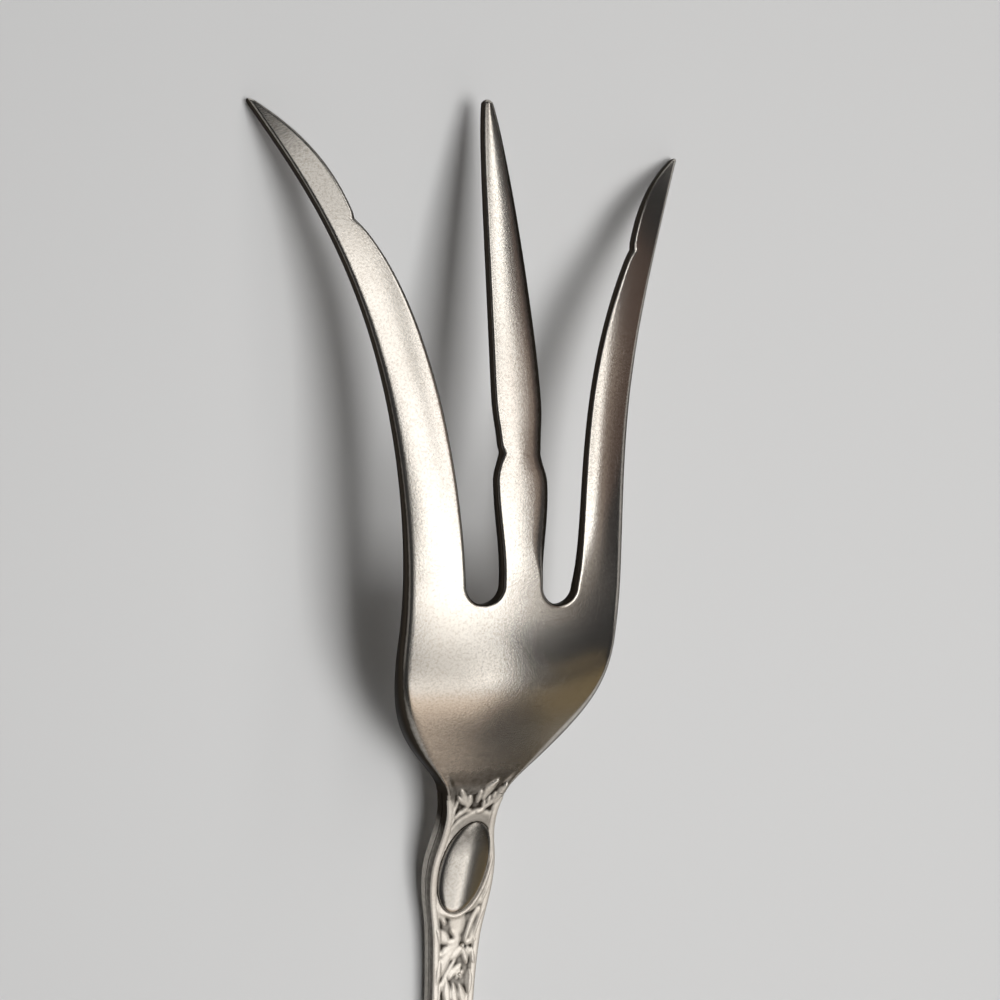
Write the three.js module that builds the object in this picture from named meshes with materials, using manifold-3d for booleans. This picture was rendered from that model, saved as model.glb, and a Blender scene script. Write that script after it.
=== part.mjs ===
// A three-tined serving fork lying back up on a table: a pierced and dished head whose tang
// sits in a hollow handle made of two struck shells.
// Millimetres, +Y from the handle to the tines, +X to the right seen from above, +Z up.
// Stations run along +Y from the neck, where the head meets the handle.
import * as THREE from "three";
import { mergeVertices } from "three/addons/utils/BufferGeometryUtils.js";
import Module from "manifold-3d";

const wasm = await Module();
wasm.setup();

// Head: lengths from the neck, and widths right across the fork
const HEAD_LENGTH = 86;
const OUTER_TIP_SETBACK = 3;
const NECK_WIDTH = 7.9;
const NECK_ANGLE = 13;
const BOWL_WIDEST_AT = 20;
const SIDE_STRAIGHT = 0.5;
const TIP_SPREAD = 59.2;
const TIP_WIDTH = 0.7;

// Head: the two gaps between the tines
const SLOT_ROOT = 24.4;
const SLOT_WIDTH = 4.4;
const SLOT_OFFSET = 4.75;

// Head: the outer tines, each with a nick on its inside below a curved blade. The left tine is
// the broader one. Offsets are from the middle of the fork.
const LEFT_BOWL_OFFSET = 13.7;
const RIGHT_BOWL_OFFSET = 13.45;
const LEFT_FLARE_ANGLE = 27;
const RIGHT_FLARE_ANGLE = 30;
const LEFT_SLOT_ANGLE = 6;
const RIGHT_SLOT_ANGLE = 12;
const NICK_FROM_TIP = 14.5;
const LEFT_NICK_OFFSET = 18.2;
const RIGHT_NICK_OFFSET = 18.3;
const LEFT_NICK_ANGLE = 42;
const RIGHT_NICK_ANGLE = 32;
const LEFT_BLADE_ANGLE = 17;
const RIGHT_BLADE_ANGLE = 20;
const BLADE_TIP_ANGLE = 52;

// Head: the middle tine, whose bulge, waist and swell follow one another up from the slots
const BULGE_WIDTH = 6.7;
const BULGE_FROM_SLOT = 11.9;
const WAIST_WIDTH = 5.35;
const WAIST_FROM_BULGE = 3.4;
const SWELL_WIDTH = 6.2;
const SWELL_FROM_WAIST = 6.2;
const MIDDLE_TIP_WIDTH = 1.2;
const TAPER_ANGLE = 14;

// Head: heights of the back above the table, and thicknesses square to the metal
const CREST_AT = 27;
const CREST_HEIGHT = 20.75;
const MIDDLE_TIP_HEIGHT = 5.1;
const TIP_SLOPE = 21;
const NECK_THICKNESS = 3.4;
const BOWL_THICKNESS = 2.1;
const TIP_THICKNESS = 1.1;
const BOWL_ARC_RADIUS = 67;
const TINE_ARC_RADIUS = 165;

// Handle
const HANDLE_LENGTH = 132;
const STEM_AT = 32;
const STEM_WIDTH = 5.6;
const STEM_THICKNESS = 3.2;
const STEM_LIFT = 0.5;
const COLLAR_WIDTH = 6.7;
const COLLAR_AT = 3.6;
const SHAFT_WIDTH = 6.3;
const SHAFT_AT = 20;
const SHAFT_ANGLE = 4;
const END_WIDTH = 17.6;
const END_ROUND = 20;
const HANDLE_THICKNESS = 4.2;
const END_THICKNESS = 1.9;
const END_LIFT = 0.8;
const END_SLOPE = 16;
const REST_LENGTH = 46;
const REST_FROM_END = 9;
const END_BLUNT = 2.4;
const CORNER = 0.6;
const BACK_CROWN = 0.2;
const WALL = 0.7;
const END_WALL = 1.2;
const SEAM = 0.2;
const TANG_LENGTH = 62;
const FIT = 0.3;

// Oval plate in its rim on the back of the stem
const PLATE_AT = 9.9;
const PLATE_LENGTH = 12.1;
const PLATE_WIDTH = 6.5;
const PLATE_LEAN = 0.113;
const PLATE_BORDER = 0.55;
const PLATE_BULGE_AT = 10.9;
const PLATE_DOME = 0.35;
const PLATE_EDGE = 0.45;
const PLATE_GAP = 0.15;
const POCKET_DEPTH = 0.3;
const RIM_WIDTH = 0.45;
const RIM_HEIGHT = 0.4;

// How far each curve keeps its end slopes, as shares of its own length
const NECK_BEND_REACH = [0.735, 0.38];
const TINE_BEND_REACH = [0.26, 0.33];
const SHOULDER_REACH = [0.18, 0.66];
const LEFT_FLARE_REACH = [0.6, 0.18];
const RIGHT_FLARE_REACH = [0.35, 0.44];
const LEFT_INNER_REACH = [0.05, 0.26];
const RIGHT_INNER_REACH = [0.2, 0.44];
const LEFT_BLADE_REACH = [0.6, 0.16];
const RIGHT_BLADE_REACH = [0.42, 0.28];
const TAPER_REACH = [0.15, 0.15];
const HANDLE_REACH = [0.45, 0.5];
const EVEN_REACH = [0.4, 0.4];

// Spacing of the facets, the overrun of a cutting body past what it cuts, the distance at which
// points are one, and how often a curve is halved to find a station on it
const ROW_STEP = 2.6;
const HANDLE_ROW_STEP = 4;
const BLANK_COLUMNS = 12;
const CURVE_STEPS = 7;
const CORNER_TURN = Math.PI / 6;
const END_TURN = Math.PI / 12;
const OVAL_TURN = Math.PI / 14;
const OVAL_COLUMNS = 6;
const SLOPE_STEP = 0.25;
const OVERRUN = 2;
const MERGE_DISTANCE = 1e-4;
const CURVE_HALVINGS = 40;

const outerTipAt = HEAD_LENGTH - OUTER_TIP_SETBACK;
const stemHeight = STEM_LIFT + STEM_THICKNESS;
const slotTopAt = SLOT_ROOT + SLOT_WIDTH / 2;
const endWidestAt = HANDLE_LENGTH - END_ROUND;
const restEndAt = HANDLE_LENGTH - REST_FROM_END;
const restStartAt = restEndAt - REST_LENGTH;

// A cubic curve in station and value, leaving and reaching its ends at the given slopes.
// Its reach is a share of the curve's length at each end.
function bend(from, to, { leave = 0, arrive = 0, reach = EVEN_REACH } = {}) {
  const start = new THREE.Vector2(...from);
  const end = new THREE.Vector2(...to);
  const run = end.x - start.x;
  const tangent = (degrees, share) => {
    const slope = Math.tan(THREE.MathUtils.degToRad(degrees));
    return new THREE.Vector2(run * share, run * share * slope);
  };
  return new THREE.CubicBezierCurve(
    start,
    start.clone().add(tangent(leave, reach[0])),
    end.clone().sub(tangent(arrive, reach[1])),
    end,
  );
}

// The value that a chain of such curves has at a station.
function graph(curves) {
  return (station) => {
    const curve = curves.find((c) => station <= c.v3.x) ?? curves.at(-1);
    let low = 0;
    let high = 1;
    for (let i = 0; i < CURVE_HALVINGS; i++) {
      const middle = (low + high) / 2;
      if (curve.getPoint(middle).x < station) low = middle;
      else high = middle;
    }
    return curve.getPoint(low).y;
  };
}

// A smooth value through points of station and value, level past both ends.
function through(points) {
  const stations = points.map((p) => p[0]);
  const values = points.map((p) => p[1]);
  const interpolant = new THREE.CubicInterpolant(stations, values, 1);
  return (station) => interpolant.evaluate(station)[0];
}

function spaced(from, to, step) {
  const count = Math.max(1, Math.round(Math.abs(to - from) / step));
  return Array.from({ length: count + 1 }, (_, i) => from + ((to - from) * i) / count);
}

// Height of the back along the middle of the whole fork
const backHeight = graph([
  bend([-HANDLE_LENGTH, END_LIFT + END_THICKNESS], [-endWidestAt, HANDLE_THICKNESS], {
    leave: END_SLOPE,
  }),
  bend([-endWidestAt, HANDLE_THICKNESS], [-STEM_AT, stemHeight]),
  bend([-STEM_AT, stemHeight], [CREST_AT, CREST_HEIGHT], { reach: NECK_BEND_REACH }),
  bend([CREST_AT, CREST_HEIGHT], [HEAD_LENGTH, MIDDLE_TIP_HEIGHT], {
    arrive: -TIP_SLOPE,
    reach: TINE_BEND_REACH,
  }),
]);

function slopeLength(station) {
  const rise = backHeight(station + SLOPE_STEP) - backHeight(station - SLOPE_STEP);
  return Math.hypot(1, rise / (2 * SLOPE_STEP));
}

// Thickness measured straight down, so that it keeps its size square to the sloping metal
const squareThickness = through([
  [-STEM_AT, STEM_THICKNESS],
  [0, NECK_THICKNESS],
  [BOWL_WIDEST_AT, BOWL_THICKNESS],
  [HEAD_LENGTH, TIP_THICKNESS],
]);
const headThickness = (station) => squareThickness(station) * slopeLength(station);

// The back falls off to both sides as a shallow arc, enough at the outer tips to rest them
// on the table
const outerTipFall = backHeight(outerTipAt) - headThickness(outerTipAt);
const tipArcRadius = (TIP_SPREAD / 2) ** 2 / (2 * outerTipFall);
const arcCurvature = through([
  [0, 1 / BOWL_ARC_RADIUS],
  [BOWL_WIDEST_AT, 1 / BOWL_ARC_RADIUS],
  [(CREST_AT + HEAD_LENGTH) / 2, 1 / TINE_ARC_RADIUS],
  [outerTipAt, 1 / tipArcRadius],
]);
const headBack = (x, station) => backHeight(station) - (arcCurvature(station) * x * x) / 2;

// Edges of the head as offsets from the middle: the outside of each half, and the inside of its
// tine from the slot to the nick and on to the tip
function tineEdges(tine) {
  const flareAt = BOWL_WIDEST_AT + SIDE_STRAIGHT;
  const nick = [outerTipAt - NICK_FROM_TIP, tine.nickOffset];
  const outside = graph([
    bend([0, NECK_WIDTH / 2], [BOWL_WIDEST_AT, tine.bowlOffset], {
      leave: NECK_ANGLE,
      reach: SHOULDER_REACH,
    }),
    bend([BOWL_WIDEST_AT, tine.bowlOffset], [flareAt, tine.bowlOffset]),
    bend([flareAt, tine.bowlOffset], [outerTipAt, TIP_SPREAD / 2], {
      arrive: tine.flareAngle,
      reach: tine.flareReach,
    }),
  ]);
  const inside = [
    bend([slotTopAt, SLOT_OFFSET + SLOT_WIDTH / 2], nick, {
      leave: tine.slotAngle,
      arrive: tine.nickAngle,
      reach: tine.innerReach,
    }),
    bend(nick, [outerTipAt, TIP_SPREAD / 2 - TIP_WIDTH], {
      leave: tine.bladeAngle,
      arrive: BLADE_TIP_ANGLE,
      reach: tine.bladeReach,
    }),
  ];
  return { outside, inside };
}
const leftTine = tineEdges({
  bowlOffset: LEFT_BOWL_OFFSET,
  flareAngle: LEFT_FLARE_ANGLE,
  flareReach: LEFT_FLARE_REACH,
  slotAngle: LEFT_SLOT_ANGLE,
  nickOffset: LEFT_NICK_OFFSET,
  nickAngle: LEFT_NICK_ANGLE,
  innerReach: LEFT_INNER_REACH,
  bladeAngle: LEFT_BLADE_ANGLE,
  bladeReach: LEFT_BLADE_REACH,
});
const rightTine = tineEdges({
  bowlOffset: RIGHT_BOWL_OFFSET,
  flareAngle: RIGHT_FLARE_ANGLE,
  flareReach: RIGHT_FLARE_REACH,
  slotAngle: RIGHT_SLOT_ANGLE,
  nickOffset: RIGHT_NICK_OFFSET,
  nickAngle: RIGHT_NICK_ANGLE,
  innerReach: RIGHT_INNER_REACH,
  bladeAngle: RIGHT_BLADE_ANGLE,
  bladeReach: RIGHT_BLADE_REACH,
});
const bulgeAt = slotTopAt + BULGE_FROM_SLOT;
const waistAt = bulgeAt + WAIST_FROM_BULGE;
const swellAt = waistAt + SWELL_FROM_WAIST;
const middleEdge = [
  bend([slotTopAt, SLOT_OFFSET - SLOT_WIDTH / 2], [bulgeAt, BULGE_WIDTH / 2]),
  bend([bulgeAt, BULGE_WIDTH / 2], [waistAt, WAIST_WIDTH / 2]),
  bend([waistAt, WAIST_WIDTH / 2], [swellAt, SWELL_WIDTH / 2]),
  bend([swellAt, SWELL_WIDTH / 2], [HEAD_LENGTH, MIDDLE_TIP_WIDTH / 2], {
    arrive: -TAPER_ANGLE,
    reach: TAPER_REACH,
  }),
];

// The handle's half width, with an oval end, and the heights of its two faces and its seam
const plateSide = PLATE_WIDTH / 2 + RIM_WIDTH + PLATE_BORDER;
const handleSide = graph([
  bend([-endWidestAt, END_WIDTH / 2], [-STEM_AT, STEM_WIDTH / 2], { reach: HANDLE_REACH }),
  bend([-STEM_AT, STEM_WIDTH / 2], [-SHAFT_AT, SHAFT_WIDTH / 2], { arrive: SHAFT_ANGLE }),
  bend([-SHAFT_AT, SHAFT_WIDTH / 2], [-PLATE_BULGE_AT, plateSide], { leave: SHAFT_ANGLE }),
  bend([-PLATE_BULGE_AT, plateSide], [-COLLAR_AT, COLLAR_WIDTH / 2]),
  bend([-COLLAR_AT, COLLAR_WIDTH / 2], [0, NECK_WIDTH / 2], { arrive: NECK_ANGLE }),
]);
function handleHalfWidth(station) {
  const past = Math.max(0, -station - endWidestAt) / END_ROUND;
  const narrowing = 1 - (END_BLUNT / END_WIDTH) ** 2;
  return handleSide(Math.max(station, -endWidestAt)) * Math.sqrt(1 - narrowing * past * past);
}
function handleUnderside(station) {
  if (station > -STEM_AT) return backHeight(station) - headThickness(station);
  const rise = STEM_LIFT * THREE.MathUtils.smoothstep(station, -restStartAt, -STEM_AT);
  const lift = END_LIFT * THREE.MathUtils.smoothstep(-station, restEndAt, HANDLE_LENGTH);
  return rise + lift;
}
const handleSeam = (station) => (backHeight(station) + handleUnderside(station)) / 2;

// One of the handle's two faces at a station, set in from the outside: points from the left edge to
// the right, square at the sides, rounded at the corners, flat on the front and crowned on the back.
function handleFace(station, side, inset) {
  const half = handleHalfWidth(station) - inset;
  const seam = handleSeam(station);
  const face = side > 0 ? backHeight(station) : handleUnderside(station);
  const depth = Math.abs(face - seam) - inset * slopeLength(station);
  const corner = Math.min(CORNER, depth / 2, half / 2);
  const flat = half - corner;
  const quarter = spaced(0, Math.PI / 2, CORNER_TURN);
  const right = [
    [0, 0],
    [flat / 2, 0],
    ...quarter.map((turn) => [
      flat + corner * Math.sin(turn),
      corner * (1 - Math.cos(turn)),
    ]),
  ];
  const left = right.slice(1).reverse().map(([x, drop]) => [-x, drop]);
  return [...left, ...right].map(([x, drop]) => {
    const crown = side > 0 ? BACK_CROWN * (x / half) ** 2 : 0;
    return new THREE.Vector3(x, station, seam + side * (depth - drop - crown));
  });
}
const backSurface = (x, station) =>
  backHeight(station) - BACK_CROWN * (x / handleHalfWidth(station)) ** 2;

// A closed body through rings. Each ring is a row of upper points and a row of lower points,
// both running along +X, and the rings follow one another along +Y.
function loft(rings) {
  const columns = rings[0].upper.length;
  const points = rings.flatMap((ring) => [...ring.upper, ...ring.lower]);
  const upper = (ring, i) => ring * 2 * columns + i;
  const lower = (ring, i) => upper(ring, i) + columns;
  const index = [];
  const quad = (a, b, c, d) => index.push(a, b, c, a, c, d);
  const last = columns - 1;
  for (let r = 0; r < rings.length - 1; r++) {
    for (let i = 0; i < last; i++) {
      quad(upper(r, i), upper(r, i + 1), upper(r + 1, i + 1), upper(r + 1, i));
      quad(lower(r, i), lower(r + 1, i), lower(r + 1, i + 1), lower(r, i + 1));
    }
    quad(upper(r, 0), upper(r + 1, 0), lower(r + 1, 0), lower(r, 0));
    quad(upper(r, last), lower(r, last), lower(r + 1, last), upper(r + 1, last));
  }
  for (let i = 0; i < last; i++) {
    const end = rings.length - 1;
    quad(upper(0, i), lower(0, i), lower(0, i + 1), upper(0, i + 1));
    quad(upper(end, i), upper(end, i + 1), lower(end, i + 1), lower(end, i));
  }
  const geometry = new THREE.BufferGeometry().setFromPoints(points);
  return geometry.setIndex(index);
}

const row = (xs, station, height) => xs.map((x) => new THREE.Vector3(x, station, height(x)));

// Boolean work on closed bodies
function solidOf(geometry) {
  const bare = new THREE.BufferGeometry();
  bare.setAttribute("position", geometry.getAttribute("position"));
  bare.setIndex(geometry.getIndex());
  const merged = mergeVertices(bare, MERGE_DISTANCE);
  return new wasm.Manifold(
    new wasm.Mesh({
      numProp: 3,
      vertProperties: merged.getAttribute("position").array,
      triVerts: new Uint32Array(merged.getIndex().array),
    }),
  );
}
function geometryOf(solid) {
  const mesh = solid.getMesh();
  const geometry = new THREE.BufferGeometry();
  geometry.setAttribute("position", new THREE.BufferAttribute(mesh.vertProperties, 3));
  geometry.setIndex(new THREE.BufferAttribute(mesh.triVerts, 1));
  geometry.computeVertexNormals();
  return geometry;
}

// The head before its gaps are cut: a bent and dished plate from the neck to the tips
function headBlank() {
  const shares = spaced(-1, 1, 2 / BLANK_COLUMNS);
  const toOuterTips = spaced(0, outerTipAt, ROW_STEP);
  const toMiddleTip = spaced(outerTipAt, HEAD_LENGTH, ROW_STEP).slice(1);
  const rings = [...toOuterTips, ...toMiddleTip].map((station) => {
    const left = leftTine.outside(Math.min(station, outerTipAt));
    const right = rightTine.outside(Math.min(station, outerTipAt));
    const xs = shares.map((share) => share * (share < 0 ? left : right));
    return {
      upper: row(xs, station, (x) => headBack(x, station)),
      lower: row(xs, station, (x) => headBack(x, station) - headThickness(station)),
    };
  });
  return solidOf(loft(rings));
}

// The gap on one side: round at the slot's root, along the outer tine's inner edge to its tip,
// across past the ends of the tines, and back down the middle tine
function gapCutter(side, tine) {
  const arc = new THREE.EllipseCurve(
    SLOT_OFFSET, slotTopAt, SLOT_WIDTH / 2, SLOT_WIDTH / 2, Math.PI, 2 * Math.PI,
  );
  const plan = (curves) =>
    curves.flatMap((curve) => curve.getPoints(CURVE_STEPS).slice(1)).map((p) => [p.y, p.x]);
  const beyondTips = HEAD_LENGTH + OVERRUN;
  const beyondSide = TIP_SPREAD / 2 + OVERRUN;
  const outline = [
    ...arc.getPoints(CURVE_STEPS).map((p) => [p.x, p.y]),
    ...plan(tine.inside),
    [beyondSide, outerTipAt],
    [beyondSide, beyondTips],
    [MIDDLE_TIP_WIDTH / 2, beyondTips],
    ...plan(middleEdge).reverse(),
  ];
  const shape = new THREE.Shape(outline.map(([x, y]) => new THREE.Vector2(side * x, y)));
  const depth = CREST_HEIGHT + 2 * OVERRUN;
  const cutter = new THREE.ExtrudeGeometry(shape, { depth, bevelEnabled: false });
  cutter.translate(0, 0, -OVERRUN);
  return solidOf(cutter);
}

// The tang is a flat bar in the middle of the handle's hollow
function tang() {
  const half = STEM_WIDTH / 2 - WALL - FIT;
  const thickness = STEM_THICKNESS - 2 * WALL - 2 * FIT;
  const rings = spaced(-TANG_LENGTH, OVERRUN, HANDLE_ROW_STEP).map((station) => {
    const deep = (thickness / 2) * slopeLength(station);
    return {
      upper: row([-half, half], station, () => handleSeam(station) + deep),
      lower: row([-half, half], station, () => handleSeam(station) - deep),
    };
  });
  return solidOf(loft(rings));
}

function forkHead() {
  const gaps = gapCutter(-1, leftTine).add(gapCutter(1, rightTine));
  return geometryOf(headBlank().subtract(gaps).add(tang()));
}

// Stations of the handle from its end to the mouth, closer together where the end is round
function handleStations(from, to) {
  const quarter = spaced(0, Math.PI / 2, END_TURN);
  const round = quarter.map((angle) => -endWidestAt - END_ROUND * Math.cos(angle));
  const straight = spaced(-endWidestAt, to, HANDLE_ROW_STEP);
  const inside = [...round.slice(0, -1), ...straight].filter((s) => s > from);
  return [from, ...inside];
}

// One half of the handle's outer body, from its face to its side of the seam
function handleHalf(side) {
  const rings = handleStations(-HANDLE_LENGTH, -FIT).map((station) => {
    const face = handleFace(station, side, 0);
    const level = handleSeam(station) + (side * SEAM) / 2;
    const seam = face.map((point) => new THREE.Vector3(point.x, station, level));
    return side > 0 ? { upper: face, lower: seam } : { upper: seam, lower: face };
  });
  return solidOf(loft(rings));
}

// A body inside the handle, set in from the outside by the wall and any clearance
function handleCore(from, to, inset) {
  const rings = handleStations(from, to).map((station) => ({
    upper: handleFace(station, 1, inset),
    lower: handleFace(station, -1, inset),
  }));
  return solidOf(loft(rings));
}

// An oval body that leans a little and follows the back of the stem, between two heights above it
function ovalOnBack(length, width, low, high) {
  const turns = spaced(Math.PI - OVAL_TURN, OVAL_TURN, OVAL_TURN);
  const shares = spaced(-1, 1, 2 / OVAL_COLUMNS);
  const rings = turns.map((turn) => {
    const station = -PLATE_AT + (length / 2) * Math.cos(turn);
    const half = (width / 2) * Math.sin(turn);
    const middle = PLATE_LEAN * (station + PLATE_AT);
    const back = (x) => backSurface(x, station);
    const rise = (x) => 1 - Math.min(1, (2 * (x - middle) / width) ** 2 + Math.cos(turn) ** 2);
    const xs = shares.map((share) => middle + share * half);
    return {
      upper: row(xs, station, (x) => back(x) + high(rise(x))),
      lower: row(xs, station, (x) => back(x) + low),
    };
  });
  return solidOf(loft(rings));
}

function handleBackShell() {
  const inner = 2 * PLATE_GAP;
  const outer = inner + 2 * RIM_WIDTH;
  const oval = (margin, top) =>
    ovalOnBack(PLATE_LENGTH + margin, PLATE_WIDTH + margin, -POCKET_DEPTH, () => top);
  const raised = oval(outer, RIM_HEIGHT);
  const pocket = oval(inner, OVERRUN);
  const cavity = handleCore(-HANDLE_LENGTH + END_WALL, 0, WALL);
  return geometryOf(handleHalf(1).add(raised).subtract(pocket).subtract(cavity));
}

function handleFrontShell() {
  const cavity = handleCore(-HANDLE_LENGTH + END_WALL, 0, WALL);
  return geometryOf(handleHalf(-1).subtract(cavity));
}

function handleFiller() {
  return geometryOf(handleCore(-HANDLE_LENGTH + END_WALL + FIT, -TANG_LENGTH - FIT, WALL + FIT));
}

function ovalPlate() {
  const seat = PLATE_GAP - POCKET_DEPTH;
  const dome = (rise) => seat + PLATE_EDGE + PLATE_DOME * rise;
  return geometryOf(ovalOnBack(PLATE_LENGTH, PLATE_WIDTH, seat, dome));
}

const wornSilver = { color: 0xcbc5b8, roughness: 0.3, metalness: 1 };
const struckSilver = { color: 0xc2bbad, roughness: 0.42, metalness: 1 };
const filling = { color: 0x4a3b2c, roughness: 0.9, metalness: 0 };

const fork = new THREE.Group();
fork.position.y = (HANDLE_LENGTH - HEAD_LENGTH) / 2;

function place(name, geometry, finish) {
  const mesh = new THREE.Mesh(geometry, new THREE.MeshStandardMaterial(finish));
  mesh.name = name;
  fork.add(mesh);
}

place("fork_head", forkHead(), wornSilver);
place("handle_back_shell", handleBackShell(), struckSilver);
place("handle_front_shell", handleFrontShell(), struckSilver);
place("handle_filler", handleFiller(), filling);
place("oval_plate", ovalPlate(), wornSilver);

export default fork;
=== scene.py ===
"""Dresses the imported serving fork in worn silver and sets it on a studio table.

Lengths are in metres. Stations run along +Y from the neck, where the head meets the handle,
and the back of the fork faces +Z.
"""

import math
from collections import namedtuple

import bmesh
import bpy
import numpy as np
from bpy.props import FloatProperty, FloatVectorProperty, PointerProperty
from mathutils import Matrix, Vector


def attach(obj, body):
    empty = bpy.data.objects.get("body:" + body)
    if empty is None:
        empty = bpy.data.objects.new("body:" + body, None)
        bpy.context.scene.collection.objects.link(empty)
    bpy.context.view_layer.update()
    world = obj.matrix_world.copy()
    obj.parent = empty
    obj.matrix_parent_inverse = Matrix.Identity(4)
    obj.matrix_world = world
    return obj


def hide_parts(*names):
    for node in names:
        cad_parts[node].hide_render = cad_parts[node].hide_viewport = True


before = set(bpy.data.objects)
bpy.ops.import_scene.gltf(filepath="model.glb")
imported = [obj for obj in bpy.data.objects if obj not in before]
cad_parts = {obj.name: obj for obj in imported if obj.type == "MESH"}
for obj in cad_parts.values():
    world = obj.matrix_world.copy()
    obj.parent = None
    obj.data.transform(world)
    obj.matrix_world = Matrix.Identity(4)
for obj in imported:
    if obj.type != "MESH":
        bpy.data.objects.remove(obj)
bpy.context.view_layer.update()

bl_info = {
    "name": "Serving Fork",
    "version": (1, 0, 0),
    "blender": (4, 5, 0),
    "location": "3D View > Sidebar > Fork",
    "description": "Builds a three-tined serving fork in worn silver around its solid model",
    "category": "Object",
}

MM = 0.001
NECK_Y = 23 * MM

# Head outline, as in the solid
HEAD_LENGTH = 86 * MM
OUTER_TIP_AT = 83 * MM
NECK_HALF = 3.95 * MM
BOWL_WIDEST_AT = 20 * MM
FLARE_AT = 20.5 * MM
TIP_HALF_SPREAD = 29.6 * MM
TIP_WIDTH = 0.7 * MM
SLOT_OFFSET = 4.75 * MM
SLOT_RADIUS = 2.2 * MM
SLOT_TOP = 26.6 * MM
NICK_AT = 68.5 * MM
BULGE_AT, BULGE_HALF = 38.5 * MM, 3.35 * MM
WAIST_AT, WAIST_HALF = 41.9 * MM, 2.675 * MM
SWELL_AT, SWELL_HALF = 48.1 * MM, 3.1 * MM
MIDDLE_TIP_HALF = 0.6 * MM

# Heights of the back and thicknesses
CREST_AT, CREST_HEIGHT = 27 * MM, 20.75 * MM
MIDDLE_TIP_HEIGHT = 5.1 * MM
STEM_AT, STEM_HEIGHT = -32 * MM, 3.7 * MM
BOWL_ARC, TINE_ARC = 67 * MM, 165 * MM
TINE_ARC_AT = 56.5 * MM

# Handle
HANDLE_LENGTH = 132 * MM
END_WIDEST = 112 * MM
END_HALF = 8.8 * MM
END_BLUNT = 1.2 * MM
END_WALL = 1.2 * MM
STEM_HALF = 2.8 * MM
PLATE_AT = -9.9 * MM
PLATE_HALF_WIDTH, PLATE_HALF_LENGTH = 3.25 * MM, 6.05 * MM
PLATE_LEAN = 0.113
PLATE_BULGE_AT, PLATE_SIDE_HALF = -10.9 * MM, 4.25 * MM
COLLAR_AT, COLLAR_HALF = -3.6 * MM, 3.35 * MM
SHAFT_AT, SHAFT_HALF = -20 * MM, 3.15 * MM
REST_START, REST_END = -77 * MM, -123 * MM
STEM_LIFT, END_LIFT = 0.5 * MM, 0.8 * MM
BACK_CROWN = 0.2 * MM
WALL = 0.7 * MM
SEAM = 0.2 * MM
SHELL_MOUTH = -0.02 * MM
TANG_HALF, TANG_HALF_THICKNESS = 1.8 * MM, 0.6 * MM
TANG_LENGTH = 62 * MM

# The photograph's view: pinhole camera with the handle down and the tips up
CAMERA_AT = (-0.067349, 0.062132, 0.166648)
CAMERA_RIGHT = (0.9156, 0.0352, 0.4005)
CAMERA_DOWN = (0.0254, -0.9992, 0.0297)
CAMERA_FORWARD = (0.4012, -0.0171, -0.9158)
LENS, SENSOR = 50.4, 36.0


# Curves shared by the pieces

def bend(start, end, leave=0.0, arrive=0.0, reach=(0.4, 0.4)):
    """Points of a cubic in station and value, with its end slopes in degrees."""
    (s0, v0), (s1, v1) = start, end
    near, far = reach[0] * (s1 - s0), reach[1] * (s1 - s0)
    corners = np.array([
        (s0, v0),
        (s0 + near, v0 + near * math.tan(math.radians(leave))),
        (s1 - far, v1 - far * math.tan(math.radians(arrive))),
        (s1, v1),
    ])
    t = np.linspace(0, 1, 600)[:, None]
    weights = np.hstack([(1 - t) ** 3, 3 * t * (1 - t) ** 2, 3 * t**2 * (1 - t), t**3])
    return weights @ corners


def graph(*bends):
    """The value that a chain of bends has at any station."""
    table = np.concatenate(bends)
    return lambda station: np.interp(station, table[:, 0], table[:, 1])


def through(points):
    """A smooth value through points of station and value, level past both ends."""
    stations, values = np.array(points).T
    slopes = np.gradient(values, stations)
    chords = np.diff(values) / np.diff(stations)
    slopes[0], slopes[-1] = chords[0], chords[-1]
    table = []
    for i in range(len(stations) - 1):
        run = stations[i + 1] - stations[i]
        p = np.linspace(0, 1, 200)
        table.append(np.stack([
            stations[i] + p * run,
            values[i] * (2 * p**3 - 3 * p**2 + 1)
            + slopes[i] * run * (p**3 - 2 * p**2 + p)
            + values[i + 1] * (3 * p**2 - 2 * p**3)
            + slopes[i + 1] * run * (p**3 - p**2),
        ], axis=1))
    return graph(*table)


def smoothstep(value, low, high):
    t = np.clip((value - low) / (high - low), 0, 1)
    return t * t * (3 - 2 * t)


def bump_at(value, centre, width):
    return np.exp(-(((value - centre) / width) ** 2))


back_height = graph(
    bend((-HANDLE_LENGTH, 2.7 * MM), (-END_WIDEST, 4.2 * MM), leave=16),
    bend((-END_WIDEST, 4.2 * MM), (STEM_AT, STEM_HEIGHT)),
    bend((STEM_AT, STEM_HEIGHT), (CREST_AT, CREST_HEIGHT), reach=(0.735, 0.38)),
    bend((CREST_AT, CREST_HEIGHT), (HEAD_LENGTH, MIDDLE_TIP_HEIGHT), arrive=-21, reach=(0.26, 0.33)),
)


def back_slope(station):
    step = 0.25 * MM
    return (back_height(station + step) - back_height(station - step)) / (2 * step)


square_thickness = through([
    (STEM_AT, 3.2 * MM), (0, 3.4 * MM), (BOWL_WIDEST_AT, 2.1 * MM), (HEAD_LENGTH, 1.1 * MM),
])


def head_thickness(station):
    return square_thickness(station) * np.hypot(1, back_slope(station))


outer_tip_fall = float(back_height(OUTER_TIP_AT) - head_thickness(OUTER_TIP_AT))
arc_curvature = through([
    (0, 1 / BOWL_ARC),
    (BOWL_WIDEST_AT, 1 / BOWL_ARC),
    (TINE_ARC_AT, 1 / TINE_ARC),
    (OUTER_TIP_AT, 2 * outer_tip_fall / TIP_HALF_SPREAD**2),
])


def head_back(x, station):
    return back_height(station) - arc_curvature(station) * x * x / 2


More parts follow.
